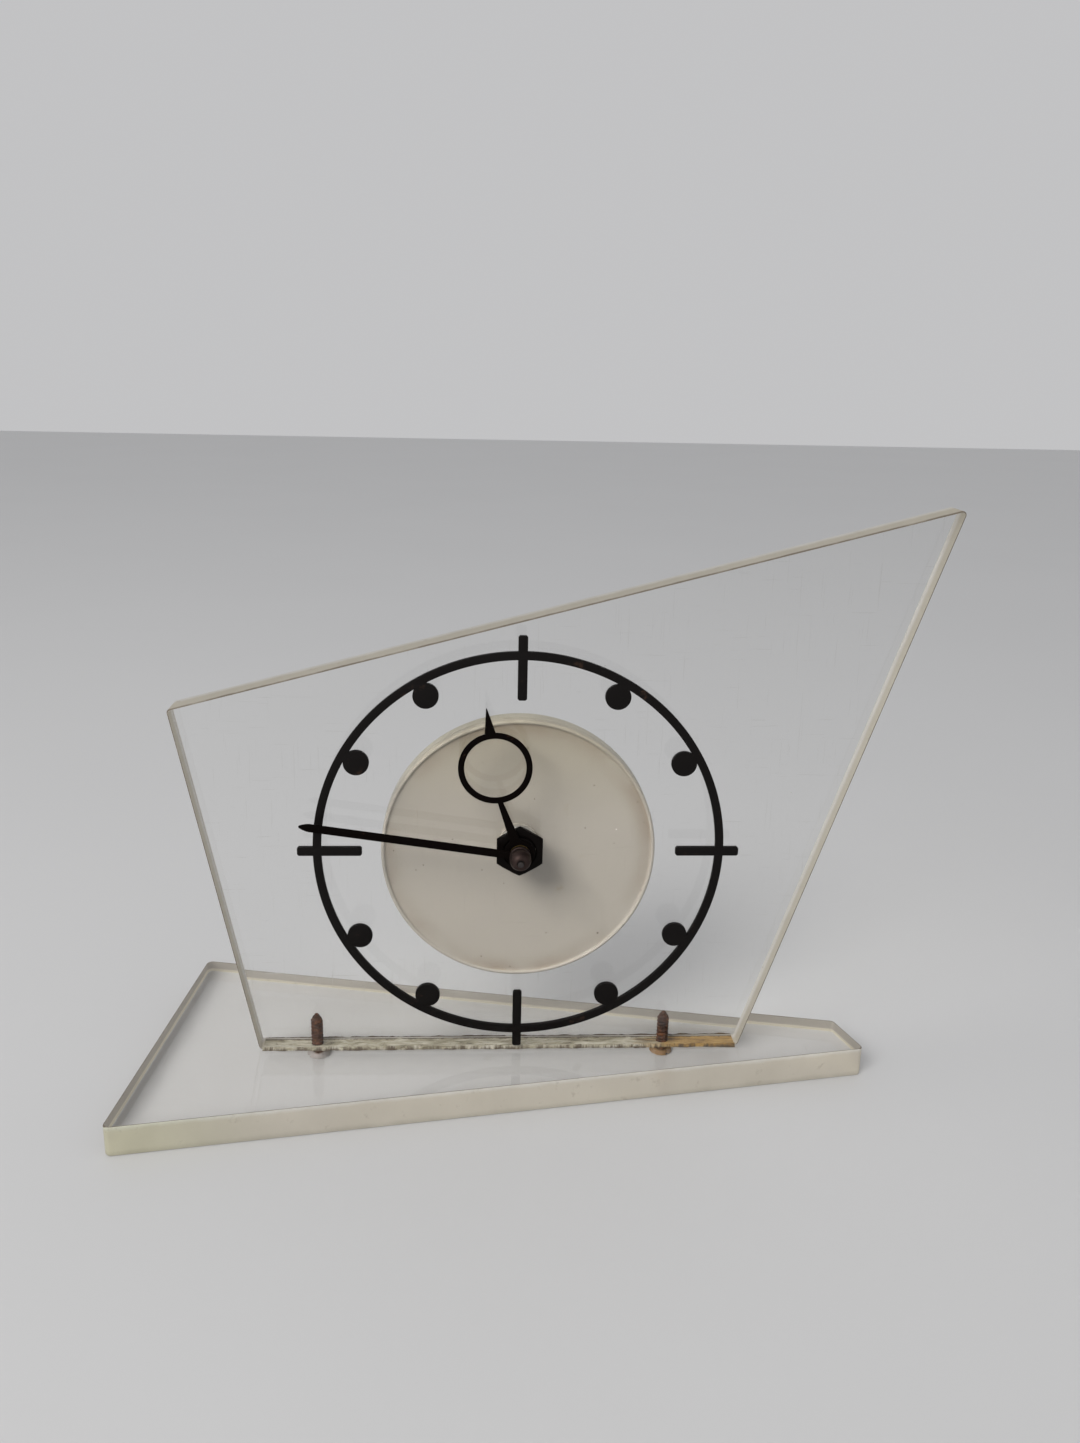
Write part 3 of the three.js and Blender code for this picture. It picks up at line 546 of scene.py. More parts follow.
def ivory_enamel(name, tone):
    """Stove enamel, yellowed at its top, with dirt and painted shade round the inside of its rim, and a few stains
    and specks.
    """
    dirt_and_shade_from, dirt_and_shade_full, dirt_and_shade_end = 0.036, 0.0432, 0.0433
    shader = Shader(name)
    cloud = shader.noise(28, detail=4, roughness=0.5)
    fine = shader.noise(2200, detail=2, roughness=0.5)
    colour = shader.mix(cloud, tuple(0.93 * c for c in tone), tuple(1.05 * c for c in tone))

    off_axis = shader.node("ShaderNodeVectorMath", {0: shader.place, 1: (HOUSING[0] * MM, 0, HOUSING[1] * MM)},
                           operation="SUBTRACT").outputs[0]
    flat = shader.node("ShaderNodeVectorMath", {0: off_axis, 1: (1, 0, 1)}, operation="MULTIPLY").outputs[0]
    radius = shader.node("ShaderNodeVectorMath", {0: flat}, operation="LENGTH").outputs["Value"]

    yellowed = shader.between(shader.axis("Z"), (HOUSING[1] + 5) * MM, (HOUSING[1] + 44) * MM)
    yellow = tuple(c * t for c, t in zip(tone, (0.82, 0.79, 0.66)))
    colour = shader.mix(shader.times(yellowed, 0.75), colour, yellow)
    # Dirt and painted shade: patchy brown that deepens towards the inside of the rim and stops at its edge.
    dirt_and_shade = shader.times(shader.between(radius, dirt_and_shade_from, dirt_and_shade_full), shader.between(cloud, 0.35, 0.6))
    dirt_and_shade = shader.times(dirt_and_shade, shader.between(radius, dirt_and_shade_end, dirt_and_shade_end - 0.0002))
    colour = shader.mix(shader.times(dirt_and_shade, 0.6), colour, (0.24, 0.18, 0.115))
    stains = shader.between(shader.noise(110, detail=5, roughness=0.7), 0.66, 0.74)
    colour = shader.mix(shader.times(stains, 0.35), colour, (0.35, 0.27, 0.16))
    large, small = shader.specks(150, share=0.12, size=0.055), shader.specks(420, share=0.06, size=0.10)
    specks = shader.highest(large, small)
    colour = shader.mix(shader.times(specks, 0.8), colour, (0.10, 0.085, 0.055))
    surface = shader.principled(
        Base_Color=colour, Roughness=shader.line(cloud, 0.2, 0.38), Specular_IOR_Level=0.4,
        Normal=shader.bump(fine, 0.015, 0.5),
    )
    return shader.done(surface)


def brushed(name, tone, dark, roughness, grain=(2600, 300, 260)):
    """Bare metal with a brushed grain and patches of tarnish."""
    shader = Shader(name)
    lines = shader.noise(grain, detail=3, roughness=0.6)
    tarnish = shader.between(shader.noise(170, detail=5, roughness=0.65), 0.5, 0.72)
    surface = shader.principled(
        Base_Color=shader.mix(shader.times(tarnish, 0.7), tone, dark), Metallic=1.0,
        Roughness=shader.line(lines, 0.22, roughness), Normal=shader.bump(lines, 0.012, 0.5),
    )
    return shader.done(surface)


def pale_laminate():
    """The floor that the clock stands on."""
    shader = Shader("pale_laminate")
    cloud = shader.noise(5, detail=3, roughness=0.5)
    fine = shader.noise(900, detail=2, roughness=0.5)
    surface = shader.principled(
        Base_Color=shader.mix(cloud, (0.628, 0.630, 0.633), (0.652, 0.654, 0.657)), Roughness=0.5,
        Specular_IOR_Level=0.3, Normal=shader.bump(fine, 0.01, 0.2),
    )
    return shader.done(surface)


CLEAR_PANEL = clear_acrylic("clear_panel", (0.968, 0.968, 0.962), (0.95, 0.95, 0.94))
CLEAR_BASE = clear_acrylic("clear_base", (0.918, 0.913, 0.905), (0.90, 0.895, 0.885))
PANEL_EDGE = sawn_acrylic(
    "sawn_panel_edge", (900, 90, 900), "Y", [(0.1, SHADED), (0.9, CREAM), (6, CREAM), (8.5, PALE)])
# The base edge's bands, bottom to top: a painted highlight, the dull edge, and painted shade along its top.
BASE_EDGE = sawn_acrylic(
    "sawn_base_edge", (700, 700, 80), "Z",
    [(0.2, HIGHLIGHT_CREAM), (1.4, HIGHLIGHT_CREAM), (2.6, DULL), (8.8, DULL), (9.7, SHADED)], shades=True)
# The front face's top band is a painted highlight along its upper edge.
BASE_FRONT = sawn_acrylic(
    "rubbed_base_front", (700, 700, 80), "Z", [(0.3, CREAM), (2, RUBBED), (8.5, RUBBED), (9.6, TOP_EDGE_HIGHLIGHT)],
    clear=0.35, left_tint=(0.95, 0.98, 0.86), glow=0.0)
GLUE = aged_glue()
RUST_LEFT = rusted("rusted_left", (0.56, 0.52, 0.50))
RUST_RIGHT = rusted("rusted_right", (0.42, 0.27, 0.14))
BLACK = satin_black("satin_black", 0.25)
HAND_BLACK = satin_black("hand_black", 0.1, roughness=0.55, sheen=0.02)
NUT_BLACK = satin_black("nut_black", 0.05, roughness=0.26, sheen=0.05)
IVORY = ivory_enamel("ivory_enamel", (0.43, 0.395, 0.345))
SHELL_IVORY = ivory_enamel("shell_enamel", (0.46, 0.435, 0.38))
BROWN_CAP = brushed("tarnished_cap", (0.055, 0.038, 0.034), (0.02, 0.013, 0.011), 0.45, grain=500)
DARK_STEEL = brushed("tarnished_steel", (0.07, 0.062, 0.06), (0.03, 0.024, 0.02), 0.4)
BRASS = brushed("brushed_brass", (0.72, 0.52, 0.22), (0.36, 0.23, 0.08), 0.28)
STEEL = brushed("brushed_steel", (0.50, 0.50, 0.51), (0.22, 0.20, 0.18), 0.3)
BLUED = brushed("blued_steel", (0.05, 0.08, 0.20), (0.03, 0.03, 0.06), 0.25)


# ---------------------------------------------------------------- the two sheets, the glue and the screws
SHEET_CREASE = 5  # degrees: low, so that the bevels don't bend the flat faces' refraction
FACE_ON = 0.99  # a normal's share along the sheet's own axis, from which a face is polished and not sawn


def panel():
    corners = shifted(PANEL_CORNERS, DIAL)
    outlines = [rounded(corners, PANEL_ROUNDING), circle(DIAL, BUSH["radius"] + 0.3, 64)]
    mesh = flat_mesh("panel", outlines, 0, PANEL_BACK, SHEET_BEVEL)
    finishes = [CLEAR_PANEL, PANEL_EDGE]
    ob = piece("panel", mesh, "stand", "acrylic", finishes, "acrylic_panel", sharp=SHEET_CREASE)
    paint_faces(ob, lambda face: 0 if abs(face.normal.y) > FACE_ON else 1)


def base():
    """Drawn as a flat piece, then laid down."""
    mesh = flat_mesh("base", [rounded(BASE_CORNERS, BASE_ROUNDING)], 0, BASE_TOP, SHEET_BEVEL)
    mesh.transform(Matrix.Translation((0, 0, BASE_TOP)) @ Matrix.Rotation(-QUARTER, 4, "X"))
    finishes = [CLEAR_BASE, BASE_EDGE, BASE_FRONT]
    ob = piece("base", mesh, "stand", "acrylic", finishes, "acrylic_base", sharp=SHEET_CREASE)

    def finish_of(face):
        if abs(face.normal.z) > FACE_ON:
            return finishes.index(CLEAR_BASE)
        return finishes.index(BASE_FRONT if face.normal.y < -0.6 else BASE_EDGE)

    paint_faces(ob, finish_of)


def glue_line():
    """A thin layer under the panel, with an uneven bead squeezed out along its front and its back."""
    (x0, _, z0), x1 = low("glue_line"), high("glue_line").x
    overlap, gap = 0.05, 0.02
    top = low("acrylic_panel").z + overlap
    back_face = PANEL_BACK + gap
    count = 260

    def uneven(x, seed, lowest, highest):
        """A size that wanders between lowest and highest along the strip."""
        wave = noise.noise(Vector((x * 0.22, seed, 0))) + 0.5 * noise.noise(Vector((x * 0.9, seed, 3)))
        return lowest + (highest - lowest) * min(1, max(0, 0.5 + 0.8 * wave))

    rings = []
    for i in range(count + 1):
        x = x0 + (x1 - x0) * i / count
        front, front_rise = uneven(x, 1.7, 0.4, 1.0), uneven(x, 5.1, 0.35, 0.95)
        back, back_rise = uneven(x, 8.3, 0.4, 1.1), uneven(x, 12.9, 0.35, 0.95)
        section = [
            (-front, z0), (-front * 0.85, z0 + front_rise * 0.3), (-front * 0.35, z0 + front_rise * 0.75),
            (-gap, top + front_rise), (-gap, top), (back_face, top), (back_face, top + back_rise),
            (PANEL_BACK + back * 0.35, z0 + back_rise * 0.75), (PANEL_BACK + back * 0.85, z0 + back_rise * 0.3),
            (PANEL_BACK + back, z0),
        ]
        rings.append([(x, y, z) for y, z in section])
    piece("glue", ring_mesh("glue", rings), "stand", "glue", [GLUE], "glue_line", sharp=50)


def wood_screw(side, material):
    """A countersunk wood screw that comes up through the base into the panel, with a cut thread and a slot."""
    x, y, node = SCREWS[side]
    foot, tip = low(node).z, high(node).z
    shank, head, head_depth = 2.0, 3.8, 2.6
    pitch, thread_depth, run_in, tip_length = 1.3, 0.3, 2, 2.4
    thread_from = foot + 5.0
    rows, steps = 150, 40
    angles = [TURN * k / steps for k in range(steps)]

    def radius_at(height, angle):
        along = (height - thread_from) / pitch - angle / TURN
        ridge = min(1.0, 1.8 * (1 - abs(2 * (along % 1) - 1)))
        depth = thread_depth * min(1, max(0, (height - thread_from) / run_in))
        taper = min(1, (tip - height) / tip_length)
        return (shank - depth * (1 - ridge)) * (0.2 + 0.8 * taper ** 0.8)

    def ring(radii, z):
        return [(x + r * math.cos(a), y + r * math.sin(a), z) for r, a in zip(radii, angles)]

    neck = [(head - 0.25, foot), (head, foot + 0.2), (head, foot + 0.45), (shank, foot + head_depth),
            (shank, thread_from - 0.1)]
    heights = [thread_from + i * (tip - thread_from) / rows for i in range(rows + 1)]
    rings = [ring([r] * steps, z) for r, z in neck]
    rings += [ring([radius_at(z, a) for a in angles], z) for z in heights]
    turn = 0.6 if side == "left" else 2.1
    slot_place = Matrix.Translation((x, y, foot)) @ Matrix.Rotation(turn, 4, "Z")
    mesh = cut(ring_mesh("screw_" + side, rings), slot_cutter(slot_place, (2 * head + 2, 1.0, 2.0)))
    piece("screw_" + side, mesh, "stand", "rusty_steel", [material], node)


# ---------------------------------------------------------------- chapter ring and centre fixing
def ring_outlines():
    """The ring's outside with four bars' ends, and its inside with the bars and the eight dots."""
    outer, inner = RING["radius"], RING["radius"] - RING["width"]
    half = BAR["width"] / 2
    corner = 0.5
    outside, inside = [], []

    def bar_end(angle, root, end):
        """One bar's end, drawn anticlockwise: root is the arc that it leaves and end its far side."""
        reach = math.sqrt(root ** 2 - half ** 2)
        side = end - corner if end > root else end + corner
        local = [(reach, -half), (side, -half), (end, corner - half), (end, half - corner), (side, half),
                 (reach, half)]
        return turned_by(local, -angle)

    lean = math.asin(half / outer)
    for i in range(4):
        angle = i * QUARTER
        outside += bar_end(angle, outer, BAR["outer"])
        outside += arc((0, 0), outer, angle + lean, angle + QUARTER - lean, 60)[1:-1]
    bar_gap = math.asin(half / inner)
    dot_gap = math.acos((inner ** 2 + DOT["at"] ** 2 - DOT["radius"] ** 2) / (2 * inner * DOT["at"]))
    for hour in range(12):
        angle = hour * TURN / 12
        if hour % 3 == 0:
            inside += bar_end(angle, inner, BAR["inner"])
        else:
            centre = (DOT["at"] * math.cos(angle), DOT["at"] * math.sin(angle))
            start = (inner * math.cos(angle - dot_gap), inner * math.sin(angle - dot_gap))
            first = math.atan2(start[1] - centre[1], start[0] - centre[0])
            spread = (angle - first) % TURN
            inside += arc(centre, DOT["radius"], first, first - (TURN - 2 * spread), 40)
        gap = bar_gap if hour % 3 == 0 else dot_gap
        next_gap = bar_gap if (hour + 1) % 3 == 0 else dot_gap
        inside += arc((0, 0), inner, angle + gap, angle + TURN / 12 - next_gap, 20)[1:-1]
    return [shifted(outside, DIAL), shifted(inside, DIAL)]


def chapter_ring():
    front, back = low("chapter_ring").y, high("chapter_ring").y
    mesh = flat_mesh("chapter_ring", ring_outlines(), front, back, RING_BEVEL)
    piece("dial_ring", mesh, "stand", "black_paint", [BLACK], "chapter_ring", sharp=40)


def nut():
    """A thin hexagon nut with a point at the top, its corners turned down to a chamfer on both faces."""
    front, back = low("front_nut").y, high("front_nut").y
    flat = NUT_ACROSS_FLATS / 2
    corner = flat / math.cos(TURN / 12)
    bore = BUSH["radius"] + 0.05

    def hexagon(limit, angle):
        """The hexagon's radius at an angle, held inside a circle of the radius limit. The bore stays round."""
        inside = (angle + TURN / 12) % (TURN / 6) - TURN / 12
        return min(limit, flat / math.cos(inside)) if limit > bore + 1 else limit

    cone = [(corner, 0.75), (corner - 0.35, 0.5), (corner - 0.75, 0.28), (flat - 0.15, 0.02), (flat - 0.35, 0)]
    profile = [(bore, front + 0.35), (bore + 0.35, front)] + [(r, front + y) for r, y in cone[::-1]]
    profile += [(r, back - y) for r, y in cone] + [(bore, back)]
    mesh = lathe_mesh("nut", profile, DIAL, 144, closed=True, radius_at=hexagon)
    piece("nut", mesh, "stand", "black_paint", [NUT_BLACK], "front_nut", sharp=25)


def threaded_bush():
    """The bush's threaded end stands a little proud of the nut; its flange is inside the case."""
    front, back = low("centre_bush").y, high("centre_bush").y
    bore, crest = BUSH["bore"], BUSH["radius"]
    pitch, root = 0.7, BUSH["radius"] - 0.3
    thread_start, thread_end = front + 0.3, PANEL_BACK + 1.0
    length = thread_end - thread_start
    rows = int(length / pitch * 6)
    steps = 72
    rings = [[(bore, front + 0.25)] * steps, [(bore + 0.25, front)] * steps, [(root - 0.15, front)] * steps]
    for i in range(rows + 1):
        y = thread_start + i * length / rows
        phases = (((y - front) / pitch - k / steps) % 1 for k in range(steps))
        rings.append([(root + (crest - root) * (1 - abs(2 * phase - 1)), y) for phase in phases])
    flange, flange_front = high("centre_bush").x - DIAL[0], back - 1.4
    body = [(crest, thread_end + 0.1), (crest, flange_front), (flange - 0.2, flange_front),
            (flange, flange_front + 0.2), (flange, back - 0.2), (flange - 0.2, back), (bore, back)]
    rings += [[point] * steps for point in body]
    points = [
        [(DIAL[0] + r * math.cos(TURN * k / steps), y, DIAL[1] + r * math.sin(TURN * k / steps))
         for k, (r, y) in enumerate(ring)]
        for ring in rings
    ]
    piece("bush", ring_mesh("bush", points, closed=True), "stand", "black_paint", [NUT_BLACK], "centre_bush")


def rear_washer():
    y0, y1 = low("rear_washer").y, high("rear_washer").y
    outer, bore = high("rear_washer").x - DIAL[0], BUSH["radius"] + 0.35
    profile = eased([(bore, y1), (bore, y0), (outer, y0), (outer, y1), (bore, y1), (bore, y1 - 0.01)], 0.25)
    mesh = lathe_mesh("washer", profile, DIAL, 96, closed=True)
    piece("washer", mesh, "stand", "ivory_paint", [IVORY], "rear_washer")


# ---------------------------------------------------------------- hands
def hand_mesh(node, outlines, degrees):
    """A hand drawn pointing at 12 about (0, 0), turned clockwise and put in its CAD node's place."""
    placed = [shifted(turned_by(outline, math.radians(degrees)), DIAL) for outline in outlines]
    return flat_mesh(node, placed, low(node).y, high(node).y, HAND_BEVEL)


def hour_hand():
    """Hub, leaning stem, open hoop and a fine spike, from one sheet. The hoop stands to the left of the hub."""
    hub, bore = 4.6, 3.25
    stem_foot, stem_top, spike_foot = 1.6, 0.85, 1.7  # half widths
    hoop, centre, tip = HOUR_HAND["hoop_radius"], HOUR_HAND["hoop"], HOUR_HAND["tip"]
    stem = math.atan2(centre[1] - hoop, centre[0])
    foot = math.asin(stem_foot / hub)
    lean = math.asin(stem_top / hoop)
    spike = math.asin(spike_foot / hoop)
    outline = arc((0, 0), hub, stem + foot, stem - foot + TURN, 60)
    outline += arc(centre, hoop, lean - QUARTER, QUARTER - spike, 60)
    outline += [(centre[0] + 0.16, tip - 0.25), (centre[0], tip), (centre[0] - 0.16, tip - 0.25)]
    outline += arc(centre, hoop, QUARTER + spike, 3 * QUARTER - lean, 60)
    holes = [circle(centre, hoop - HOUR_HAND["strip"], 90), circle((0, 0), bore, 60)]
    mesh = hand_mesh("hour_hand", [outline, *holes], HOUR_HAND["angle"])
    piece("hand_hour", mesh, "hour_spindle", "black_paint", [HAND_BLACK], "hour_hand", sharp=40)


def minute_hand():
    """A straight baton with a drawn-in tip, on a round hub."""
    hub, bore = 3.4, 2.15
    half, length = MINUTE_HAND["width"] / 2, MINUTE_HAND["length"]
    foot = math.asin(half / hub)
    right = arc((0, 0), hub, -QUARTER, QUARTER - foot, 40)
    right += [(half, length - 3.4), (half - 0.15, length - 2.3), (0.75, length - 1.1), (0.38, length - 0.25),
              (0, length)]
    outline = right + [(-x, z) for x, z in right[-2:0:-1]]
    mesh = hand_mesh("minute_hand", [outline, circle((0, 0), bore, 60)], MINUTE_HAND["angle"])
    piece("hand_minute", mesh, "centre_spindle", "black_paint", [HAND_BLACK], "minute_hand", sharp=40)


def cap():
    """A domed cap pressed onto the arbor, with a turned groove round its foot."""
    front, back = low("hand_cap").y, high("hand_cap").y
    radius = high("hand_cap").x - DIAL[0]
    bore = 1.05
    profile = eased([
        (bore, back), (bore, front), (1.9, front + 0.2), (2.7, front + 0.9), (radius, front + 2.4),
        (radius, back - 0.9), (radius - 0.3, back - 0.7), (radius - 0.3, back - 0.5), (radius, back - 0.35),
        (radius, back), (bore + 0.3, back),
    ], 0.35)
    mesh = lathe_mesh("cap", profile, DIAL, 72, closed=True)
    piece("cap", mesh, "centre_spindle", "worn_cap", [BROWN_CAP], "hand_cap")


def arbor():
    """The centre arbor, with a turned point in front and a chamfer behind."""
    front, back = low("centre_arbor").y, high("centre_arbor").y
    radius = high("centre_arbor").x - DIAL[0]
    profile = [(0, front + 0.05), (radius * 0.55, front), (radius - 0.1, front + 0.12), (radius, front + 0.35),
               (radius, back - 0.4), (radius - 0.3, back), (0, back)]
    mesh = lathe_mesh("arbor", profile, DIAL, 40)
    piece("arbor", mesh, "centre_spindle", "steel", [DARK_STEEL], "centre_arbor")


# ---------------------------------------------------------------- case
def case_front():
    """The dished front with its rounded, raised rim, and a hole for the bush."""
    front, back = low("case_front").y, high("case_front").y
    outer = high("case_front").x - HOUSING[0]
    dish, face = outer - CASE_RIM["width"], front + CASE_RIM["height"]
    rim_inside, inner_face = outer - 1.6, face + CASE_WALL
    profile = eased([
        (0, inner_face), (0, face), (dish - 0.7, face), (dish - 0.1, face - 0.2), (dish + 0.1, front + 0.2),
        (dish + 0.35, front), (outer - 0.45, front), (outer, front + 0.45), (outer, back), (rim_inside, back),
        (rim_inside, inner_face), (0, inner_face),
    ], 0.4)
    hole = drill(DIAL, BUSH["radius"] + 0.4, front, back)
    mesh = cut(cleaned(lathe_mesh("case_dish", profile, HOUSING, 192)), cleaned(hole))
    piece("case_dish", mesh, "stand", "ivory_paint", [IVORY], "case_front")


def regulator_slot(reach, swing, heading):
    """A tool for a curved slot of a radius reach, that swings to both sides of its heading, in degrees."""
    half_width = 1.2
    start, end = math.radians(heading - swing), math.radians(heading + swing)
    outline = arc(BALANCE, reach + half_width, start, end, 24)
    outline += arc(BALANCE, reach - half_width, end, start, 24)
    return flat_mesh("slot", [outline], *THROUGH_BACK, 0.01, 0)


def case_shell():
    """A pressed shell: a straight wall, a taper and a flat back with a pressed groove and its openings."""
    front = low("case_shell").y
    outer = high("case_shell").x - HOUSING[0]
    groove, inner_back = CASE_BACK - 0.5, CASE_BACK - CASE_WALL
    outside = eased([
        (outer, front), (outer, front + 5), (outer - 0.5, front + 6), (outer - 6.8, 33.6), (outer - 7.0, 35),
        (outer - 7.7, 37.6), (outer - 9.2, 40.6), (outer - 11.5, CASE_BACK),
        (24, CASE_BACK), (23.4, groove), (22.8, groove), (22.2, CASE_BACK), (0, CASE_BACK),
    ], 1.4, 4)
    inside = [(0, inner_back), (outer - 12.6, inner_back), (outer - 10.3, 40.3), (outer - 8.9, 37.3),
              (outer - 8.1, 33.4), (outer - 1.2, front + 5.5), (outer - 1.2, front)]
    shell = cleaned(lathe_mesh("shell", outside + inside, HOUSING, 160, closed=True))
    cutters = [drill(DIAL, 2.6, *THROUGH_BACK), drill(BARREL, 4.4, *THROUGH_BACK), regulator_slot(**REGULATOR)]
    cutters += [drill(place, 1.5, *THROUGH_BACK) for place in CASE_SCREWS.values()]
    mesh = cut(shell, *map(cleaned, cutters))
    piece("shell", mesh, "stand", "ivory_paint", [SHELL_IVORY], "case_shell")


def scale_marks():
    """Raised marks beside the regulator's slot, longer in the middle and at the ends."""
    marks = []
    foot, half_width = REGULATOR["reach"] + 2.0, 0.14
    for i in range(-4, 5):
        angle = math.radians(REGULATOR["heading"] + i * REGULATOR["swing"] * 0.75 / 4)
        end = foot + (1.9 if i % 4 == 0 else 1.1)
        local = [(foot, -half_width), (end, -half_width), (end, half_width), (foot, half_width)]
        outline = shifted(turned_by(local, -angle), BALANCE)
        marks.append(flat_mesh("mark", [outline], CASE_BACK - 0.1, CASE_BACK + 0.25, 0.05, 1))
    piece("regulator_scale", merged("regulator_scale", *marks), "stand", "ivory_paint", [SHELL_IVORY])


def case_screw(node, turn):
    """A slotted cheese-head screw with a slightly domed head."""
    place = CASE_SCREWS[node]
    front, back = low(node).y, high(node).y
    head_front = CASE_BACK + 0.05
    shank, head = 0.8, 2.6
    profile = [(0, front), (shank - 0.2, front), (shank, front + 0.3), (shank, head_front),
               (head - 0.2, head_front), (head, head_front + 0.2), (head, back - 0.45),
               (head - 0.3, back - 0.15), (1.4, back - 0.02), (0, back)]
    slot_place = Matrix.Translation((place[0], back, place[1])) @ Matrix.Rotation(turn, 4, "Y")
    solid = cleaned(lathe_mesh(node + "_head", profile, place, 48))
    mesh = cut(solid, slot_cutter(slot_place, (7, 1.2, 0.7)))
    piece(node + "_head", mesh, "stand", "steel", [STEEL], node)


def setting_knob():
    """A knurled brass knob on the centre arbor's end."""
    foot, back = low("setting_knob").y, high("setting_knob").y
    radius = high("setting_knob").x - DIAL[0]
    face, bore, neck = back - 0.5, 1.05, 3.8
    ribs, rib_depth = 44, 0.28

    def knurled(r, angle):
        return r - rib_depth * abs(math.sin(ribs * angle / 2)) ** 3 if r > radius - 0.3 else r

    profile = [(bore, foot), (3.4, foot), (neck, foot + 0.3), (neck, foot + 1.2), (radius - 0.8, foot + 1.2),
               (radius - 0.4, foot + 1.35), (radius, foot + 1.8), (radius, face - 0.6),
               (radius - 0.4, face - 0.15), (radius - 0.8, face), (radius - 1.3, face),
               (radius - 1.7, face - 0.35), (4.1, face - 0.35), (neck, face), (3.6, back), (bore, back)]
    mesh = lathe_mesh("knob", profile, DIAL, ribs * 8, closed=True, radius_at=knurled)
    piece("knob", mesh, "centre_spindle", "brass", [BRASS], "setting_knob")


def bezier(a, b, c, d, steps=16):
    a, b, c, d = Vector(a), Vector(b), Vector(c), Vector(d)
    return [
        tuple(a * (1 - t) ** 3 + b * 3 * t * (1 - t) ** 2 + c * 3 * t ** 2 * (1 - t) + d * t ** 3)
        for t in (i / steps for i in range(steps + 1))
    ]


def winding_key():
    """A butterfly key: two pierced leaves on a turned hub."""
    foot, back = low("winding_key").y, high("winding_key").y
    middle = foot + 13.1
    leaf, reach, waist, half_thickness = back - middle, 10, 2.2, 0.8
    upper = bezier((0, waist), (6, waist), (6, leaf), (reach, leaf))
    right = upper + arc((reach, 0), leaf, QUARTER, -QUARTER, 32)[1:-1] + [(x, -z) for x, z in upper[::-1]]
    outline = right + [(-x, z) for x, z in right[::-1]][1:-1]
    holes = [circle((side * (reach + 0.4), 0), 2.4, 48) for side in (-1, 1)]
    leaves = flat_mesh("leaves", [outline, *holes], -half_thickness, half_thickness, 0.5, 3)
    leaves.transform(Matrix.Translation((0, middle, 0)) @ Matrix.Rotation(-QUARTER, 4, "X"))
    square, waist_radius, collar = 1.5, 2.9, 3.4
    hub_profile = eased([
        (square, foot), (3.1, foot), (collar, foot + 0.4), (collar, foot + 2), (waist_radius, foot + 2.5),
        (waist_radius, foot + 6.5), (collar, foot + 7), (collar, foot + 8.6), (2.7, foot + 9.6),
        (2.6, foot + 13), (1.9, foot + 13.7), (0, foot + 13.8), (0, foot + 8.6), (square, foot + 8.6),
        (square, foot),
    ], 0.4)
    hub = lathe_mesh("hub", hub_profile, (0, 0), 64)
    mesh = merged("key", cleaned(leaves), cleaned(hub))
    turn = Matrix.Rotation(math.radians(KEY_ANGLE), 4, "Y")
    mesh.transform(Matrix.Translation((BARREL[0], 0, BARREL[1])) @ turn)
    piece("key", mesh, "winder", "brass", [BRASS], "winding_key")


# ---------------------------------------------------------------- the movement keeps its CAD shapes
MOVEMENT_FINISH = {"brass": BRASS, "steel": STEEL, "blued_steel": BLUED}


def finish_movement():
    """New materials for the CAD nodes that no piece stands for."""
    for sub in frame["record"]["subparts"]:
        ob = frame["nodes"][sub["node"]]
        finish = MOVEMENT_FINISH.get(sub["material_slot"])
        if ob.hide_render or finish is None:
            continue
        ob.data.materials.clear()
        ob.data.materials.append(finish)


# ---------------------------------------------------------------- stage, light and camera
FLOOR_HALF = 3.0
FLOOR_LEVEL = -0.0003  # just under the base, so that the two faces don't coincide


def stage():
    corners = [(-1, -1), (1, -1), (1, 1), (-1, 1)]
    mesh = bpy.data.meshes.new("floor")
    mesh.from_pydata([(FLOOR_HALF * x, FLOOR_HALF * y, FLOOR_LEVEL) for x, y in corners], [], [(0, 1, 2, 3)])
    floor = bpy.data.objects.new("floor", mesh)
    SCENE.collection.objects.link(floor)
    mesh.materials.append(pale_laminate())


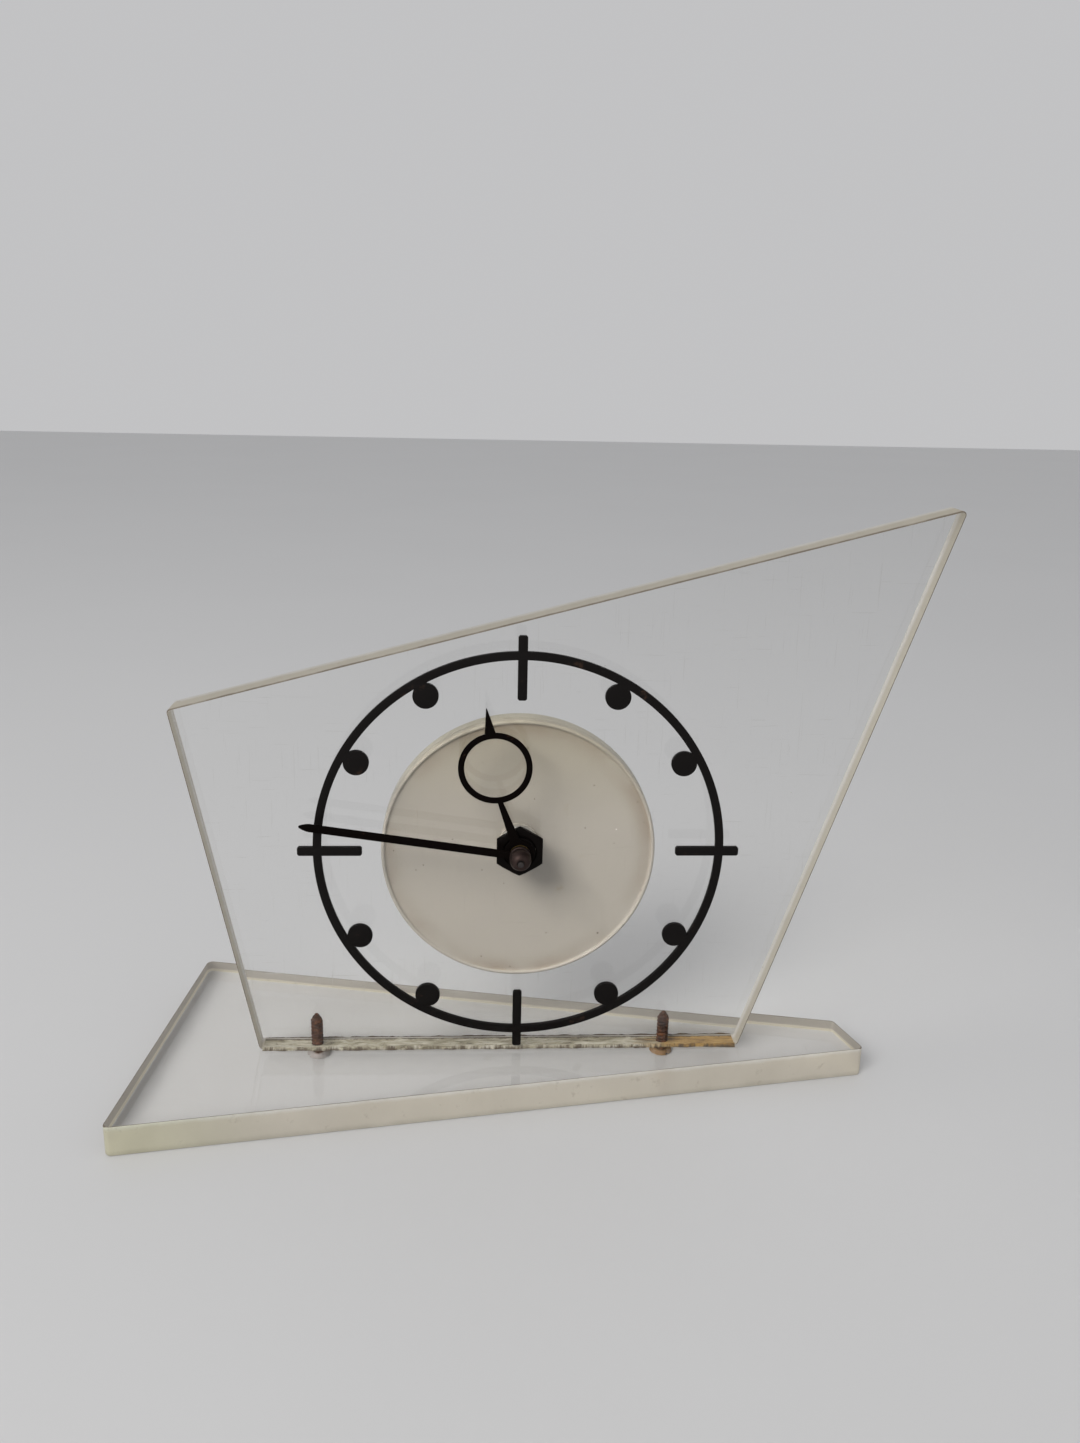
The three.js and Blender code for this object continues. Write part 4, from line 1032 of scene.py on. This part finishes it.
def area_light(name, towards, place, size, power, colour):
    light = bpy.data.lights.new(name, "AREA")
    light.shape = "RECTANGLE"
    light.size, light.size_y = size
    light.energy = power
    light.color = colour
    ob = bpy.data.objects.new(name, light)
    ob.location = place
    ob.rotation_mode = "QUATERNION"
    ob.rotation_quaternion = (Vector(place) - Vector(towards)).to_track_quat("Z", "Y")
    SCENE.collection.objects.link(ob)


WINDOW = {"place": (-0.85, -1.08, 1.15), "size": (0.85, 0.75), "power": 16.5, "colour": (1.0, 0.985, 0.965)}
ROOM = {"colour": (0.985, 0.985, 1.0), "strength": 0.55}


def lights():
    """A soft window light from the front left, and a pale room."""
    area_light("window", Vector((DIAL[0], 0, DIAL[1])) * MM, **WINDOW)
    world = bpy.data.worlds.new("soft_room")
    world.use_nodes = True
    background = world.node_tree.nodes["Background"]
    background.inputs["Color"].default_value = (*ROOM["colour"], 1)
    background.inputs["Strength"].default_value = ROOM["strength"]
    SCENE.world = world


CAMERA = {"place": (-0.014777, -0.355505, 0.233680), "yaw": 3.28, "pitch": 17.05, "roll": 1.27, "lens": 30.2}


def camera():
    """The photograph's viewpoint. pitch looks down, yaw to the right, in degrees."""
    data = bpy.data.cameras.new("camera")
    data.lens = CAMERA["lens"]
    data.sensor_width = 36
    data.sensor_fit = "AUTO"
    data.clip_start, data.clip_end = 0.01, 20
    ob = bpy.data.objects.new("camera", data)
    yaw, pitch, roll = (math.radians(CAMERA[key]) for key in ("yaw", "pitch", "roll"))
    aim = Matrix.Rotation(-yaw, 4, "Z") @ Matrix.Rotation(QUARTER - pitch, 4, "X")
    ob.matrix_world = Matrix.Translation(CAMERA["place"]) @ aim @ Matrix.Rotation(roll, 4, "Z")
    SCENE.collection.objects.link(ob)
    SCENE.camera = ob


camera()
lights()
stage()
panel()
base()
glue_line()
wood_screw("left", RUST_LEFT)
wood_screw("right", RUST_RIGHT)
chapter_ring()
nut()
threaded_bush()
rear_washer()
hour_hand()
minute_hand()
cap()
arbor()
case_front()
case_shell()
scale_marks()
for number, node in enumerate(CASE_SCREWS):
    case_screw(node, 0.5 + 1.1 * number)
setting_knob()
winding_key()
finish_movement()
SCENE.view_settings.view_transform = "Standard"
